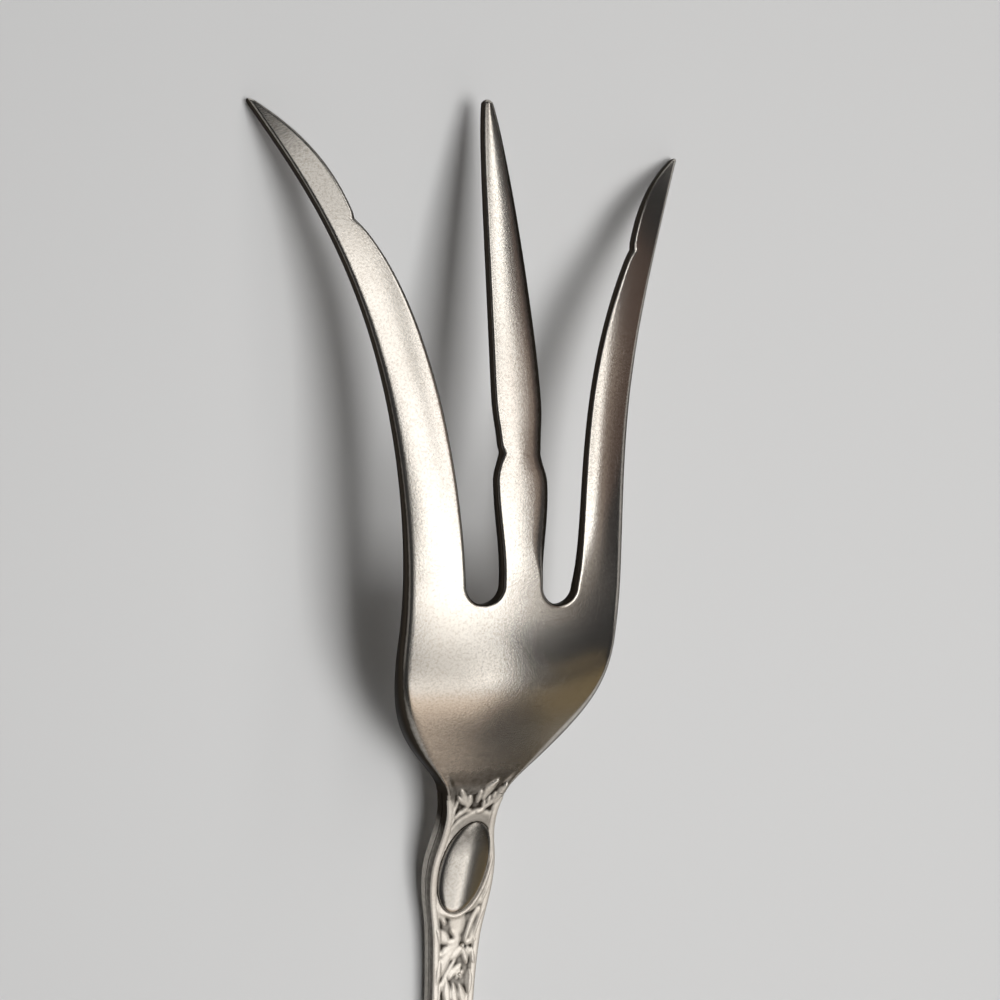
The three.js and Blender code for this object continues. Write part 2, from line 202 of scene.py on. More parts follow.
def outside(bowl_half, flare_angle, flare_reach):
    """How far the outline of one side is from the middle, by station."""
    widest, flare = (BOWL_WIDEST_AT, bowl_half), (FLARE_AT, bowl_half)
    return graph(
        bend((0, NECK_HALF), widest, leave=13, reach=(0.18, 0.66)),
        bend(widest, flare),
        bend(flare, (OUTER_TIP_AT, TIP_HALF_SPREAD), arrive=flare_angle, reach=flare_reach),
    )


def inside(nick_offset, slot_angle, nick_angle, inner_reach, blade_angle, blade_reach):
    """How far the inner edge of an outer tine is from the middle, by station."""
    nick, tip = (NICK_AT, nick_offset), (OUTER_TIP_AT, TIP_HALF_SPREAD - TIP_WIDTH)
    return graph(
        bend((SLOT_TOP, SLOT_OFFSET + SLOT_RADIUS), nick, slot_angle, nick_angle, inner_reach),
        bend(nick, tip, blade_angle, 52, blade_reach),
    )


# Edges of the head on its left (-1) and right (1) sides
OUTER_EDGES = {
    -1: outside(13.7 * MM, 27, (0.6, 0.18)),
    1: outside(13.45 * MM, 30, (0.35, 0.44)),
}
INNER_EDGES = {
    -1: inside(18.2 * MM, 6, 42, (0.05, 0.26), 17, (0.6, 0.16)),
    1: inside(18.3 * MM, 12, 32, (0.2, 0.44), 20, (0.42, 0.28)),
}
middle_edge = graph(
    bend((SLOT_TOP, SLOT_OFFSET - SLOT_RADIUS), (BULGE_AT, BULGE_HALF)),
    bend((BULGE_AT, BULGE_HALF), (WAIST_AT, WAIST_HALF)),
    bend((WAIST_AT, WAIST_HALF), (SWELL_AT, SWELL_HALF)),
    bend((SWELL_AT, SWELL_HALF), (HEAD_LENGTH, MIDDLE_TIP_HALF), arrive=-14, reach=(0.15, 0.15)),
)
handle_side = graph(
    bend((-END_WIDEST, END_HALF), (STEM_AT, STEM_HALF), reach=(0.45, 0.5)),
    bend((STEM_AT, STEM_HALF), (SHAFT_AT, SHAFT_HALF), arrive=4),
    bend((SHAFT_AT, SHAFT_HALF), (PLATE_BULGE_AT, PLATE_SIDE_HALF), leave=4),
    bend((PLATE_BULGE_AT, PLATE_SIDE_HALF), (COLLAR_AT, COLLAR_HALF)),
    bend((COLLAR_AT, COLLAR_HALF), (0, NECK_HALF), arrive=13),
)


def handle_half(station):
    past = np.maximum(0, -station - END_WIDEST) / (HANDLE_LENGTH - END_WIDEST)
    narrowing = 1 - (END_BLUNT / END_HALF) ** 2
    return handle_side(np.maximum(station, -END_WIDEST)) * np.sqrt(1 - narrowing * past**2)


def handle_underside(station):
    rise = STEM_LIFT * smoothstep(station, REST_START, STEM_AT)
    lift = END_LIFT * smoothstep(-station, -REST_END, HANDLE_LENGTH)
    neck = back_height(station) - head_thickness(station)
    return np.where(station > STEM_AT, neck, rise + lift)


def handle_seam(station):
    return (back_height(station) + handle_underside(station)) / 2


def crowned_back(x, station):
    """Height of the handle's back without its relief."""
    return back_height(station) - BACK_CROWN * (x / handle_half(station)) ** 2


# Leaf ornament, in millimetres. Each leaf is a line of points in x and station from the middle
# of the neck, with its half width, its height as a share of the relief, the place of its widest
# part along it and how evenly wide it is, from 1 for a pointed leaf to 0 for a strand.
Leaf = namedtuple("Leaf", "points half_width height widest taper", defaults=(0.45, 0.8))
# Share of its width that a leaf keeps at its ends, and the depth and width of its vein
LEAF_END = 0.12
VEIN_DEPTH, VEIN_WIDTH = 0.15, 0.22
NECK_LEAVES = [
    # Leaves, stems and frame over the oval
    Leaf([(-0.79, -1.88), (-1.45, -0.65), (-2.18, 0.73)], 0.5, 1.0, 0.45),
    Leaf([(-0.79, -1.88), (-0.72, -0.98), (-0.86, -0.07)], 0.42, 0.95),
    Leaf([(-1.00, -1.50), (-1.79, -0.90), (-2.41, -0.31)], 0.38, 0.9),
    Leaf([(0.34, -1.19), (0.44, -0.37), (0.51, 0.56)], 0.42, 1.0),
    Leaf([(1.00, -0.89), (1.29, 0.13), (1.81, 1.00), (2.57, 1.92)], 0.62, 0.95, 0.45, 0.8),
    Leaf([(0.40, -2.43), (1.02, -2.19), (1.72, -1.69), (2.66, -0.86), (3.26, 0.28), (3.70, 1.23)],
         0.42, 0.95, 0.5, 0.3),
    Leaf([(1.23, -1.93), (1.24, -1.39), (1.34, -0.91)], 0.28, 1.0),
    Leaf([(1.86, -1.43), (1.80, -0.87), (1.96, -0.40)], 0.3, 1.0),
    Leaf([(2.41, -0.91), (2.42, -0.36), (2.62, 0.18)], 0.3, 1.0),
    Leaf([(2.86, -0.25), (2.93, 0.30), (3.13, 0.84)], 0.28, 0.95),
    Leaf([(-2.77, -4.17), (-2.34, -3.39), (-1.72, -2.73), (-1.04, -2.32), (-0.31, -2.24)],
         0.36, 0.9, 0.5, 0.3),
    Leaf([(-1.34, -2.44), (-1.15, -2.04), (-0.72, -1.87)], 0.26, 0.9),
    Leaf([(-2.33, -0.87), (-2.35, -1.68), (-2.58, -3.11)], 0.2, 0.8, 0.5, 0.4),
    # Round the oval's lower end and under it
    Leaf([(3.75, -12.5), (3.05, -14.1), (1.9, -15.35), (0.3, -15.85), (-0.8, -16.0)],
         0.46, 0.95, 0.5, 0.4),
    Leaf([(-3.45, -11.9), (-3.1, -13.9), (-2.65, -15.6), (-1.7, -17.4)], 0.46, 0.85, 0.5, 0.3),
    Leaf([(-0.15, -15.4), (-0.1, -16.9), (0.1, -18.7)], 1.2, 0.8, 0.5, 0.4),
    Leaf([(-3.0, -17.8), (-2.3, -18.75), (-1.15, -19.9)], 0.83, 1.0, 0.6),
    Leaf([(-1.15, -19.9), (-0.1, -19.8), (-0.1, -19.0), (-0.85, -18.3)], 0.62, 1.0, 0.4, 0.5),
    Leaf([(2.7, -15.5), (1.9, -17.35), (1.15, -19.9)], 0.40, 0.85, 0.5, 0.3),
    Leaf([(3.4, -15.6), (2.7, -17.4), (1.7, -20.2)], 0.40, 0.9, 0.5, 0.3),
    Leaf([(0.25, -20.2), (-0.9, -20.85), (-2.0, -21.5)], 0.85, 0.95),
    Leaf([(0.8, -20.65), (0.2, -21.25), (-0.6, -22.1)], 0.65, 1.0),
    Leaf([(0.95, -20.8), (1.3, -21.75), (1.65, -22.85)], 0.47, 1.0),
    Leaf([(1.5, -20.7), (2.2, -21.7), (2.6, -23.1)], 0.53, 0.95),
    Leaf([(1.3, -20.2), (2.0, -19.85), (2.6, -19.6)], 0.53, 0.9),
    Leaf([(-0.5, -21.15), (-1.4, -22.25), (-2.0, -23.35), (-2.7, -24.5), (-2.75, -25.9)],
         0.90, 1.0, 0.5, 0.5),
    Leaf([(0.1, -21.9), (-0.75, -23.5), (-1.6, -25.2), (-2.1, -27.2)], 0.35, 0.7, 0.5, 0.3),
    Leaf([(0.85, -23.0), (-0.05, -23.7), (-0.8, -24.75)], 0.53, 0.85),
    Leaf([(1.95, -23.8), (2.1, -25.2), (2.0, -26.8)], 0.62, 0.95),
    Leaf([(-0.65, -28.0), (-0.95, -26.3), (-1.1, -24.6)], 0.62, 1.0),
    Leaf([(0.45, -28.1), (0.1, -26.9), (-0.1, -25.4)], 0.62, 1.0),
    Leaf([(1.7, -28.3), (1.3, -27.1), (0.75, -25.6)], 0.62, 1.0),
    Leaf([(-2.2, -29.0), (-2.1, -27.8), (-1.9, -26.7)], 0.50, 0.9),
]
FLOWER_AT = (0.65, -24.1)
FLOWER_PETALS, FLOWER_REACH = 5, 0.6
SPRAY_FROM, SPRAY_TO, SPRAY_STEP = -30.0, -104.0, 6.4
PALMETTE_AT, PALMETTE_LOBES = -108.0, 9
# Middle line of the oval's rim from the edge of the plate
RIM_OFFSET = 0.35


def spray_leaves():
    """Leaves in pairs along the handle to its broad end, with a fan of leaves there."""
    leaves = []
    station, side = SPRAY_FROM, 1
    while station > SPRAY_TO:
        room = handle_half(station * MM) / MM - 1.0
        length = SPRAY_STEP * (0.75 + 0.05 * room)
        for turn in (side, -side):
            shift = 0.0 if turn == side else 0.45 * SPRAY_STEP
            root = (0.0, station - shift)
            middle = (turn * 0.5 * room, station - shift - 0.45 * length)
            tip = (turn * 0.88 * room, station - shift - length)
            leaves.append(Leaf([root, middle, tip], 0.2 * room + 0.2, 1.0))
            curl = (turn * 0.75 * room, station - shift - 0.2 * length)
            start = (turn * 0.4 * room, root[1] - 0.1)
            leaves.append(Leaf([root, start, curl], 0.1 * room + 0.12, 0.85))
        station -= SPRAY_STEP
        side = -side
    stem = [(0.0, SPRAY_FROM + 1), (0.25, -60.0), (-0.25, -90.0), (0.0, PALMETTE_AT)]
    leaves.append(Leaf(stem, 0.34, 0.9))
    for turn in np.linspace(-1.15, 1.15, PALMETTE_LOBES):
        reach = 17.5 - 8.5 * abs(turn) ** 1.4
        tip = (reach * math.sin(turn) * 0.62, PALMETTE_AT - reach * math.cos(turn))
        middle = (0.42 * tip[0], PALMETTE_AT + 0.55 * (tip[1] - PALMETTE_AT))
        leaves.append(Leaf([(0.0, PALMETTE_AT), middle, tip], 1.0, 1.0, 0.7))
    return leaves


def flower_petals():
    x, station = FLOWER_AT
    petals = []
    for i in range(FLOWER_PETALS):
        turn = 2 * math.pi * i / FLOWER_PETALS
        tip = (x + FLOWER_REACH * math.sin(turn), station + FLOWER_REACH * math.cos(turn))
        middle = ((x + tip[0]) / 2, (station + tip[1]) / 2)
        petals.append(Leaf([(x, station), middle, tip], 0.26, 0.9, 0.7))
    return petals


def smooth_line(points, steps=6):
    """A finer line through the points, rounded at each one."""
    p = np.array([points[0], *points, points[-1]], float)
    fine = []
    for i in range(1, len(p) - 2):
        for t in np.arange(steps) / steps:
            fine.append(0.5 * (
                2 * p[i] + (p[i + 1] - p[i - 1]) * t
                + (2 * p[i - 1] - 5 * p[i] + 4 * p[i + 1] - p[i + 2]) * t * t
                + (3 * p[i] - p[i - 1] - 3 * p[i + 1] + p[i + 2]) * t**3
            ))
    return np.array([*fine, p[-1]])


def raise_leaf(height, x, station, leaf):
    """Lifts the points of a height map, in millimetres, that lie under one leaf."""
    line = smooth_line(leaf.points)
    low, high = line.min(0) - leaf.half_width, line.max(0) + leaf.half_width
    under = (x > low[0]) & (x < high[0]) & (station > low[1]) & (station < high[1])
    if not under.any():
        return
    px, ps = x[under], station[under]
    lengths = np.hypot(*np.diff(line, axis=0).T)
    starts = np.concatenate([[0], np.cumsum(lengths)])
    best = np.zeros_like(px)
    rise = -math.log(2) / math.log(leaf.widest)
    for a, b, start, length in zip(line, line[1:], starts, lengths):
        run = b - a
        t = np.clip(((px - a[0]) * run[0] + (ps - a[1]) * run[1]) / (length * length), 0, 1)
        away = np.hypot(px - a[0] - t * run[0], ps - a[1] - t * run[1])
        along = (start + t * length) / starts[-1]
        swell = np.sin(np.pi * along**rise) ** leaf.taper
        across = away / (leaf.half_width * (LEAF_END + (1 - LEAF_END) * swell))
        domed = np.clip(1 - across**2, 0, 1) ** 0.75
        vein = VEIN_DEPTH * bump_at(across, 0, VEIN_WIDTH) * np.sin(np.pi * along)
        best = np.maximum(best, leaf.height * (domed - vein))
    height[under] = np.maximum(height[under], best)


def oval_place(x, station):
    """Places across and along the leaning oval, in millimetres from its middle."""
    along = station - PLATE_AT / MM
    return x - PLATE_LEAN * along, along


def rim_distance(x, station):
    """Distance, in millimetres, outside the middle line of the oval's rim."""
    a, b = PLATE_HALF_WIDTH / MM + RIM_OFFSET, PLATE_HALF_LENGTH / MM + RIM_OFFSET
    across, along = oval_place(x, station)
    share = np.hypot(across / a, along / b)
    return (share - 1) * np.hypot(across, along) / np.maximum(share, 1e-3)


def back_relief(x, station, leaves):
    """Leaf relief as a share of its full height over points in metres."""
    px, ps = x / MM, station / MM
    height = np.zeros_like(px)
    for leaf in leaves:
        raise_leaf(height, px, ps, leaf)
    return height * smoothstep(rim_distance(px, ps), 0.1, 0.45)


def blurred(grid, reach):
    """The grid averaged over a square of 2 * reach + 1 points."""
    for axis in (0, 1):
        padded = np.concatenate([
            np.repeat(np.take(grid, [0], axis), reach + 1, axis),
            grid,
            np.repeat(np.take(grid, [-1], axis), reach, axis),
        ], axis)
        total = np.cumsum(padded, axis)
        count = 2 * reach + 1
        ahead = np.take(total, np.arange(count, total.shape[axis]), axis)
        behind = np.take(total, np.arange(0, total.shape[axis] - count), axis)
        grid = (ahead - behind) / count
    return grid


# Mesh helpers

def grid_faces(index):
    """Quads over a grid of point numbers."""
    corners = (index[:-1, :-1], index[:-1, 1:], index[1:, 1:], index[1:, :-1])
    return np.stack(corners, axis=-1).reshape(-1, 4).tolist()


def make_piece(name, points, faces, material, sharp_from=50, **shares):
    """A closed, smooth piece from points in x, station and height, with shares for its finish."""
    places = np.array(points, float).reshape(-1, 3) + (0, NECK_Y, 0)
    mesh = bpy.data.meshes.new(name)
    mesh.from_pydata(places.tolist(), [], faces)
    for key, share in shares.items():
        attribute = mesh.attributes.new(key, "FLOAT", "POINT")
        attribute.data.foreach_set("value", np.asarray(share, np.float32).ravel())
    work = bmesh.new()
    work.from_mesh(mesh)
    bmesh.ops.remove_doubles(work, verts=work.verts, dist=1e-7)
    bmesh.ops.dissolve_degenerate(work, edges=work.edges, dist=1e-8)
    bmesh.ops.recalc_face_normals(work, faces=work.faces)
    work.to_mesh(mesh)
    work.free()
    mesh.polygons.foreach_set("use_smooth", np.ones(len(mesh.polygons), bool))
    mesh.set_sharp_from_angle(angle=math.radians(sharp_from))
    mesh.materials.append(material)
    piece = bpy.data.objects.new(name, mesh)
    bpy.context.scene.collection.objects.link(piece)
    return piece


def fit_piece(piece, slot, *nodes):
    """Rides the piece on the fork, in place of the solids that it stands for."""
    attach(piece, "root")
    if nodes:
        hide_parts(*nodes)


def baked_nodes(name, points, edges, tree, values, radii=None):
    """A plain piece from a node tree that runs on points and edges in x, station and height."""
    mesh = bpy.data.meshes.new(name + "_path")
    mesh.from_pydata((np.array(points) + (0, NECK_Y, 0)).tolist(), edges, [])
    if radii is not None:
        mesh.attributes.new("radius", "FLOAT", "POINT").data.foreach_set("value", radii)
    path = bpy.data.objects.new(name + "_path", mesh)
    bpy.context.scene.collection.objects.link(path)
    modifier = path.modifiers.new(name, "NODES")
    modifier.node_group = tree
    for item in tree.interface.items_tree:
        if item.in_out == "INPUT" and item.name in values:
            modifier[item.identifier] = values[item.name]
    depsgraph = bpy.context.evaluated_depsgraph_get()
    made = bpy.data.meshes.new_from_object(path.evaluated_get(depsgraph), depsgraph=depsgraph)
    bpy.data.objects.remove(path)
    if not made.polygons:
        raise RuntimeError(f"{name} came out empty")
    made.name = name
    piece = bpy.data.objects.new(name, made)
    bpy.context.scene.collection.objects.link(piece)
    return piece


# Head

Edge = namedtuple("Edge", "point inward radius")
STRIP_TURNS = np.radians([15, 32, 50, 70, 90])
# Painted shade down the walls, for the shadowed table that they mirror: 0 is bright silver and 1 the
# dark oxide colour, here from the back rim to the front rim
WALL_PAINTED_SHADE = (0.15, 0.6, 1.0, 1.0, 1.0, 1.0, 0.9, 0.6)
# Painted shade over the front, which faces the table in the fork's own shadow
FRONT_PAINTED_SHADE = 0.35
# Painted shade over the neck, where it meets the handle
NECK_PAINTED_SHADE = 0.6
# Stations between which the polished bowl turns into the matte neck
NECK_MATTE = (1.7 * MM, 0.5 * MM)
BLADE_FROM = 40 * MM
# Finely divided stretch on both sides of a notch, and length of a rounded tip
NOTCH_REACH, TIP_ROUND = 1.5 * MM, 0.6 * MM
TINE_COLUMNS = 21
MIDDLE_COLUMNS = 25
FAN_ROWS = 12
BOWL_ROWS, NECK_ROWS = 60, 42
NECK_FROM = 5 * MM
JUNCTION_DROP = 5.2 * MM
MIDDLE_DROP = 5.6 * MM
MIDDLE_CROWN = 0.4
SHOULDER_SHARE, NECK_SHOULDER_SHARE = 0.45, 0.75
SHOULDER_AT, SHOULDER_REACH = 9 * MM, 4.5 * MM
INNER_CROWNS = {-1: 1.2, 1: 2.0}


def edge_line(stations, offset, metal_side, radius):
    """An edge of the metal at even stations, with the metal on its metal_side in x."""
    step = 0.05 * MM
    slope = (offset(stations + step) - offset(stations - step)) / (2 * step)
    inward = np.stack([metal_side * np.hypot(1, slope), np.zeros_like(slope)], axis=1)
    return Edge(np.stack([offset(stations), stations], axis=1), inward, radius)


def slot_arc(turns, radius, side):
    """The round root of a slot, from the turn round its middle, on one side of the fork."""
    inward = np.stack([side * np.cos(turns), np.sin(turns)], axis=1)
    middle = np.array([side * SLOT_OFFSET, SLOT_TOP])
    return Edge(middle + SLOT_RADIUS * inward, inward, radius)


def joined(first, second):
    return Edge(*(np.concatenate(pair) for pair in zip(first, second)))


def ripple(x, station):
    """Unevenness of metal that was hammered and polished by hand."""
    a, b = x / MM, station / MM
    return (
        np.sin(0.41 * a + 0.23 * b + 0.7) + 0.8 * np.sin(0.19 * a - 0.37 * b + 2.1)
        + 0.6 * np.sin(0.63 * a - 0.11 * b + 4.0) + 0.5 * np.sin(0.13 * a + 0.71 * b)
    )


def layer_heights(x, station, settings):
    top = head_back(x, station) + settings.ripple * ripple(x, station)
    return top, head_back(x, station) - head_thickness(station)


def edge_strip(edge, front_radius, drop, settings):
    """Points round an edge from its back rim to its front rim, in rows."""
    rows = []
    stations = edge.point[:, 1]
    above_neck = bump_at(stations, SHOULDER_AT, SHOULDER_REACH)
    share = SHOULDER_SHARE + (NECK_SHOULDER_SHARE - SHOULDER_SHARE) * above_neck
    deepest = share * head_thickness(stations)
    for layer, radius, sign in ((0, edge.radius, 1), (1, front_radius, -1)):
        turns = STRIP_TURNS[::-1] if layer == 0 else STRIP_TURNS
        for turn in turns:
            inset = (radius * (1 - math.cos(turn)))[:, None]
            plan = edge.point + inset * edge.inward
            height = layer_heights(plan[:, 0], plan[:, 1], settings)[layer]
            depth = np.minimum(radius, deepest)
            height = height - sign * depth * (1 - math.sin(turn)) - (drop if layer == 0 else 0)
            rows.append(np.column_stack([plan, height]))
    return np.stack(rows, axis=1)


def core_row(left, right, middle, columns):
    """Plan points across the metal between two rims, curved through the middle station."""
    t = np.linspace(-1, 1, columns)
    x = left[:, :1] + (right[:, :1] - left[:, :1]) * (t + 1) / 2
    station = (
        left[:, 1:] * t * (t - 1) / 2 + middle[:, None] * (1 - t * t) + right[:, 1:] * t * (t + 1) / 2
    )
    return np.stack([x, station], axis=-1)


def front_radius_of(edge, settings):
    """The radius that an edge has on the front of the head."""
    room = np.minimum(edge.radius, 0.5 * head_thickness(edge.point[:, 1]))
    return np.minimum(settings.front_edge, 0.6 * room)


def tine_rings(left, right, middle, columns, crowns, settings):
    """Closed rings of one tine: across its back, round an edge, across its front and round."""
    t = np.linspace(-1, 1, columns)
    left_drop, right_drop = (settings.tine_crown * crown for crown in crowns)
    cores = []
    for layer in (0, 1):
        rims = []
        for edge in (left, right):
            radius = edge.radius if layer == 0 else front_radius_of(edge, settings)
            rims.append(edge.point + radius[:, None] * edge.inward)
        plan = core_row(*rims, middle, columns)
        height = layer_heights(plan[..., 0], plan[..., 1], settings)[layer]
        if layer == 0:
            height = height - np.where(t < 0, left_drop[:, None], right_drop[:, None]) * t * t
        cores.append(np.concatenate([plan, height[..., None]], axis=-1))
    right_strip = edge_strip(right, front_radius_of(right, settings), right_drop, settings)[:, 1:-1]
    left_strip = edge_strip(left, front_radius_of(left, settings), left_drop, settings)[:, 1:-1]
    return np.concatenate([cores[0], right_strip, cores[1][:, ::-1], left_strip[:, ::-1]], axis=1)


def ring_painted_shade(columns):
    """Painted shade on each point of a ring: bright on the back, dark down the walls, partly dark over
    the front.
    """
    strip = np.array(WALL_PAINTED_SHADE)
    return np.concatenate([np.zeros(columns), strip, np.full(columns, FRONT_PAINTED_SHADE), strip[::-1]])


def rounded_tip(rings, stations, tip):
    """Draws the rings in towards their middle just before the tip."""
    past = np.clip((stations - (tip - TIP_ROUND)) / TIP_ROUND, 0, 0.985)
    shrink = np.sqrt(1 - past**2)[:, None, None]
    middle = rings.mean(axis=1, keepdims=True)
    scaled = middle + (rings - middle) * shrink
    scaled[..., 1] = rings[..., 1]
    return scaled


def spaced(*runs):
    """Stations along runs of (from, to, step), each station once."""
    parts = [np.linspace(a, b, max(1, round(abs(b - a) / step)) + 1)[1:] for a, b, step in runs]
    return np.concatenate(parts)


def tine_stations(notch, tip, fine, coarse):
    """Stations of a tine from the root of its slot, closest at its notch and its tip."""
    before, after, last = notch - NOTCH_REACH, notch + NOTCH_REACH, tip - TIP_ROUND
    return spaced(
        (SLOT_TOP, before, 0.8 * MM), (before, after, fine),
        (after, last, coarse), (last, tip, 0.08 * MM),
    )


def fan_stations(drop):
    """Stations of the rows that fan out from the bowl to the root of a slot."""
    return SLOT_TOP - drop * (1 - np.linspace(0, 1, FAN_ROWS))


def limited(radius, width):
    return np.minimum(radius, 0.36 * width)


class HeadMaker:
    """Collects the head's points and faces from its tines, bowl and tang."""

    def __init__(self, settings):
        self.settings = settings
        self.points = []
        self.recess = []
        self.faces = []
        self.count = 0

    def add_rings(self, rings, recess):
        rows, columns = rings.shape[:2]
        index = self.count + np.arange(rows * columns).reshape(rows, columns)
        self.points.append(rings.reshape(-1, 3))
        self.recess.append(np.broadcast_to(recess, (rows, columns)).ravel())
        self.count += rows * columns
        self.faces += grid_faces(np.concatenate([index, index[:, :1]], axis=1))
        return index

    def close(self, ring, columns):
        """Closes a ring from its back row to its front row."""
        ring = list(ring)
        half = len(ring) // 2
        front = ring[half:half + columns][::-1]
        for i in range(columns - 1):
            self.faces.append([ring[i], ring[i + 1], front[i + 1], front[i]])
        self.faces.append([ring[columns - 1], *ring[columns:half], front[-1]])
        self.faces.append([front[0], *ring[half + columns:], ring[0]])

    def add_tine(self, rings, stations, tip, columns):
        """Adds a tine with its tip rounded and closed, and gives its first ring."""
        rings = rounded_tip(rings, stations, tip)
        index = self.add_rings(rings, ring_painted_shade(columns))
        self.close(index[-1], columns)
        return rings[0]

    def outer_tine(self, side):
        settings = self.settings
        outer_edge, inner_edge = OUTER_EDGES[side], INNER_EDGES[side]
        turns = np.linspace(1.5 * np.pi, 2 * np.pi, FAN_ROWS)
        stations = tine_stations(NICK_AT, OUTER_TIP_AT, 0.12 * MM, 0.7 * MM)
        every = np.concatenate([fan_stations(JUNCTION_DROP), stations])
        width = outer_edge(every) - inner_edge(np.maximum(every, SLOT_TOP))
        nick = bump_at(every, NICK_AT - 0.3 * MM, 0.75 * MM)
        inner_radius = limited(settings.inner_edge + nick * settings.nick_bevel, width)
        rim = settings.left_edge if side < 0 else settings.outer_edge
        rim = rim + (settings.blade_edge - rim) * smoothstep(every, BLADE_FROM, NICK_AT)
        outer_radius = limited(rim, width)

        def notched(s):
            return inner_edge(s) + 0.5 * settings.nick_bevel * bump_at(s, NICK_AT, 0.5 * MM)

        inner = joined(
            slot_arc(turns, inner_radius[:FAN_ROWS], side),
            edge_line(stations, lambda s: side * notched(s), side, inner_radius[FAN_ROWS:]),
        )
        outer = edge_line(every, lambda s: side * outer_edge(s), -side, outer_radius)
        crown = smoothstep(every, SLOT_TOP - 3 * MM, SLOT_TOP + 9 * MM)
        crown = crown * smoothstep(every, NICK_AT + 4 * MM, BLADE_FROM)
        crowns = (INNER_CROWNS[side] * crown, crown)
        middle = (inner.point[:, 1] + outer.point[:, 1]) / 2
        pair = (inner, outer)
        if side < 0:
            pair, crowns = pair[::-1], crowns[::-1]
        rings = tine_rings(*pair, middle, TINE_COLUMNS, crowns, settings)
        return self.add_tine(rings, every, OUTER_TIP_AT, TINE_COLUMNS)

    def middle_tine(self):
        settings = self.settings
        turns = np.linspace(1.5 * np.pi, np.pi, FAN_ROWS)
        stations = tine_stations(WAIST_AT, HEAD_LENGTH, 0.15 * MM, 0.8 * MM)
        every = np.concatenate([fan_stations(MIDDLE_DROP), stations])
        width = 2 * middle_edge(every)
        waist = bump_at(every, WAIST_AT - 0.2 * MM, 0.7 * MM)
        edges = []
        for side in (-1, 1):
            deep = settings.waist_bevel * (1.0 if side < 0 else 0.4)
            along = smoothstep(every, SLOT_TOP, SLOT_TOP + 6 * MM) if side > 0 else 0.0
            rim = settings.inner_edge + (settings.middle_edge - settings.inner_edge) * along
            radius = limited(rim + deep * waist, width)

            def notched(s, side=side, deep=deep):
                return side * (middle_edge(s) - 0.3 * deep * bump_at(s, WAIST_AT, 0.5 * MM))

            edges.append(joined(
                slot_arc(turns, radius[:FAN_ROWS], side),
                edge_line(stations, notched, -side, radius[FAN_ROWS:]),
            ))
        crown = MIDDLE_CROWN * smoothstep(every, SLOT_TOP, SLOT_TOP + 14 * MM)
        rings = tine_rings(*edges, every, MIDDLE_COLUMNS, (crown, crown), settings)
        return self.add_tine(rings, every, HEAD_LENGTH, MIDDLE_COLUMNS)

    def bowl(self, left, middle, right, relief):
        """The bowl from its junction with the tines down to the neck."""
        settings = self.settings
        columns = 2 * TINE_COLUMNS + MIDDLE_COLUMNS - 2

        def row_of(ring, count, layer):
            half = len(ring) // 2
            return ring[:count] if layer == 0 else ring[half:half + count][::-1]

        top = SLOT_TOP - JUNCTION_DROP
        stations = np.concatenate([
            np.linspace(top, NECK_FROM, BOWL_ROWS), np.linspace(NECK_FROM, 0, NECK_ROWS)[1:],
        ])
        v = 1 - stations / top
        rising = smoothstep(stations, 0, 7 * MM)
        above_neck = bump_at(stations, SHOULDER_AT, SHOULDER_REACH) * smoothstep(v, 0, 0.25)
        edges = {}
        for side, outer_edge in OUTER_EDGES.items():
            rim = settings.left_edge if side < 0 else settings.outer_edge
            rim = settings.neck_edge + (rim - settings.neck_edge) * rising
            rim = rim + settings.shoulder_edge * above_neck
            radius = limited(rim, 2 * outer_edge(stations))

            def offset(s, side=side, outer_edge=outer_edge):
                return side * outer_edge(s)

            edges[side] = edge_line(stations, offset, -side, radius)
        fronts = {side: front_radius_of(edges[side], settings) for side in edges}
        even = np.linspace(-1, 1, columns)
        ease = smoothstep(v, 0, 1)[:, None]
        cores = []
        for layer in (0, 1):
            rows = [row_of(left, TINE_COLUMNS, layer), row_of(middle, MIDDLE_COLUMNS, layer)[1:-1]]
            rows.append(row_of(right, TINE_COLUMNS, layer))
            first = np.concatenate(rows)
            rims = {}
            for side, edge in edges.items():
                radius = edge.radius if layer == 0 else fronts[side]
                rims[side] = np.abs(edge.point[:, 0] + radius * edge.inward[:, 0])[:, None]
            share = np.where(first[:, 0] < 0, -first[:, 0] / first[0, 0], first[:, 0] / first[-1, 0])
            blend = share * (1 - ease) + even * ease
            x = blend * np.where(blend < 0, rims[-1], rims[1])
            station = first[:, 1] * (1 - v[:, None])
            height = layer_heights(x, station, settings)[layer]
            core = np.stack([x, station, height], axis=-1)
            core[0] = first
            cores.append(core)
        strips = {
            side: edge_strip(edges[side], fronts[side], 0.0, settings)[:, 1:-1] for side in edges
        }
        raised, hollow = relief(cores[0][..., 0], cores[0][..., 1])
        cores[0][..., 2] += raised
        rings = np.concatenate([cores[0], strips[1], cores[1][:, ::-1], strips[-1][:, ::-1]], axis=1)
        # Painted shade down the walls and over the front; on the back, oxide in the relief's hollows
        # and painted shade over the neck
        recess = np.repeat(ring_painted_shade(columns)[None], len(stations), axis=0)
        recess[:, :columns] = hollow
        index = self.add_rings(rings, recess)
        return index, cores[0], columns

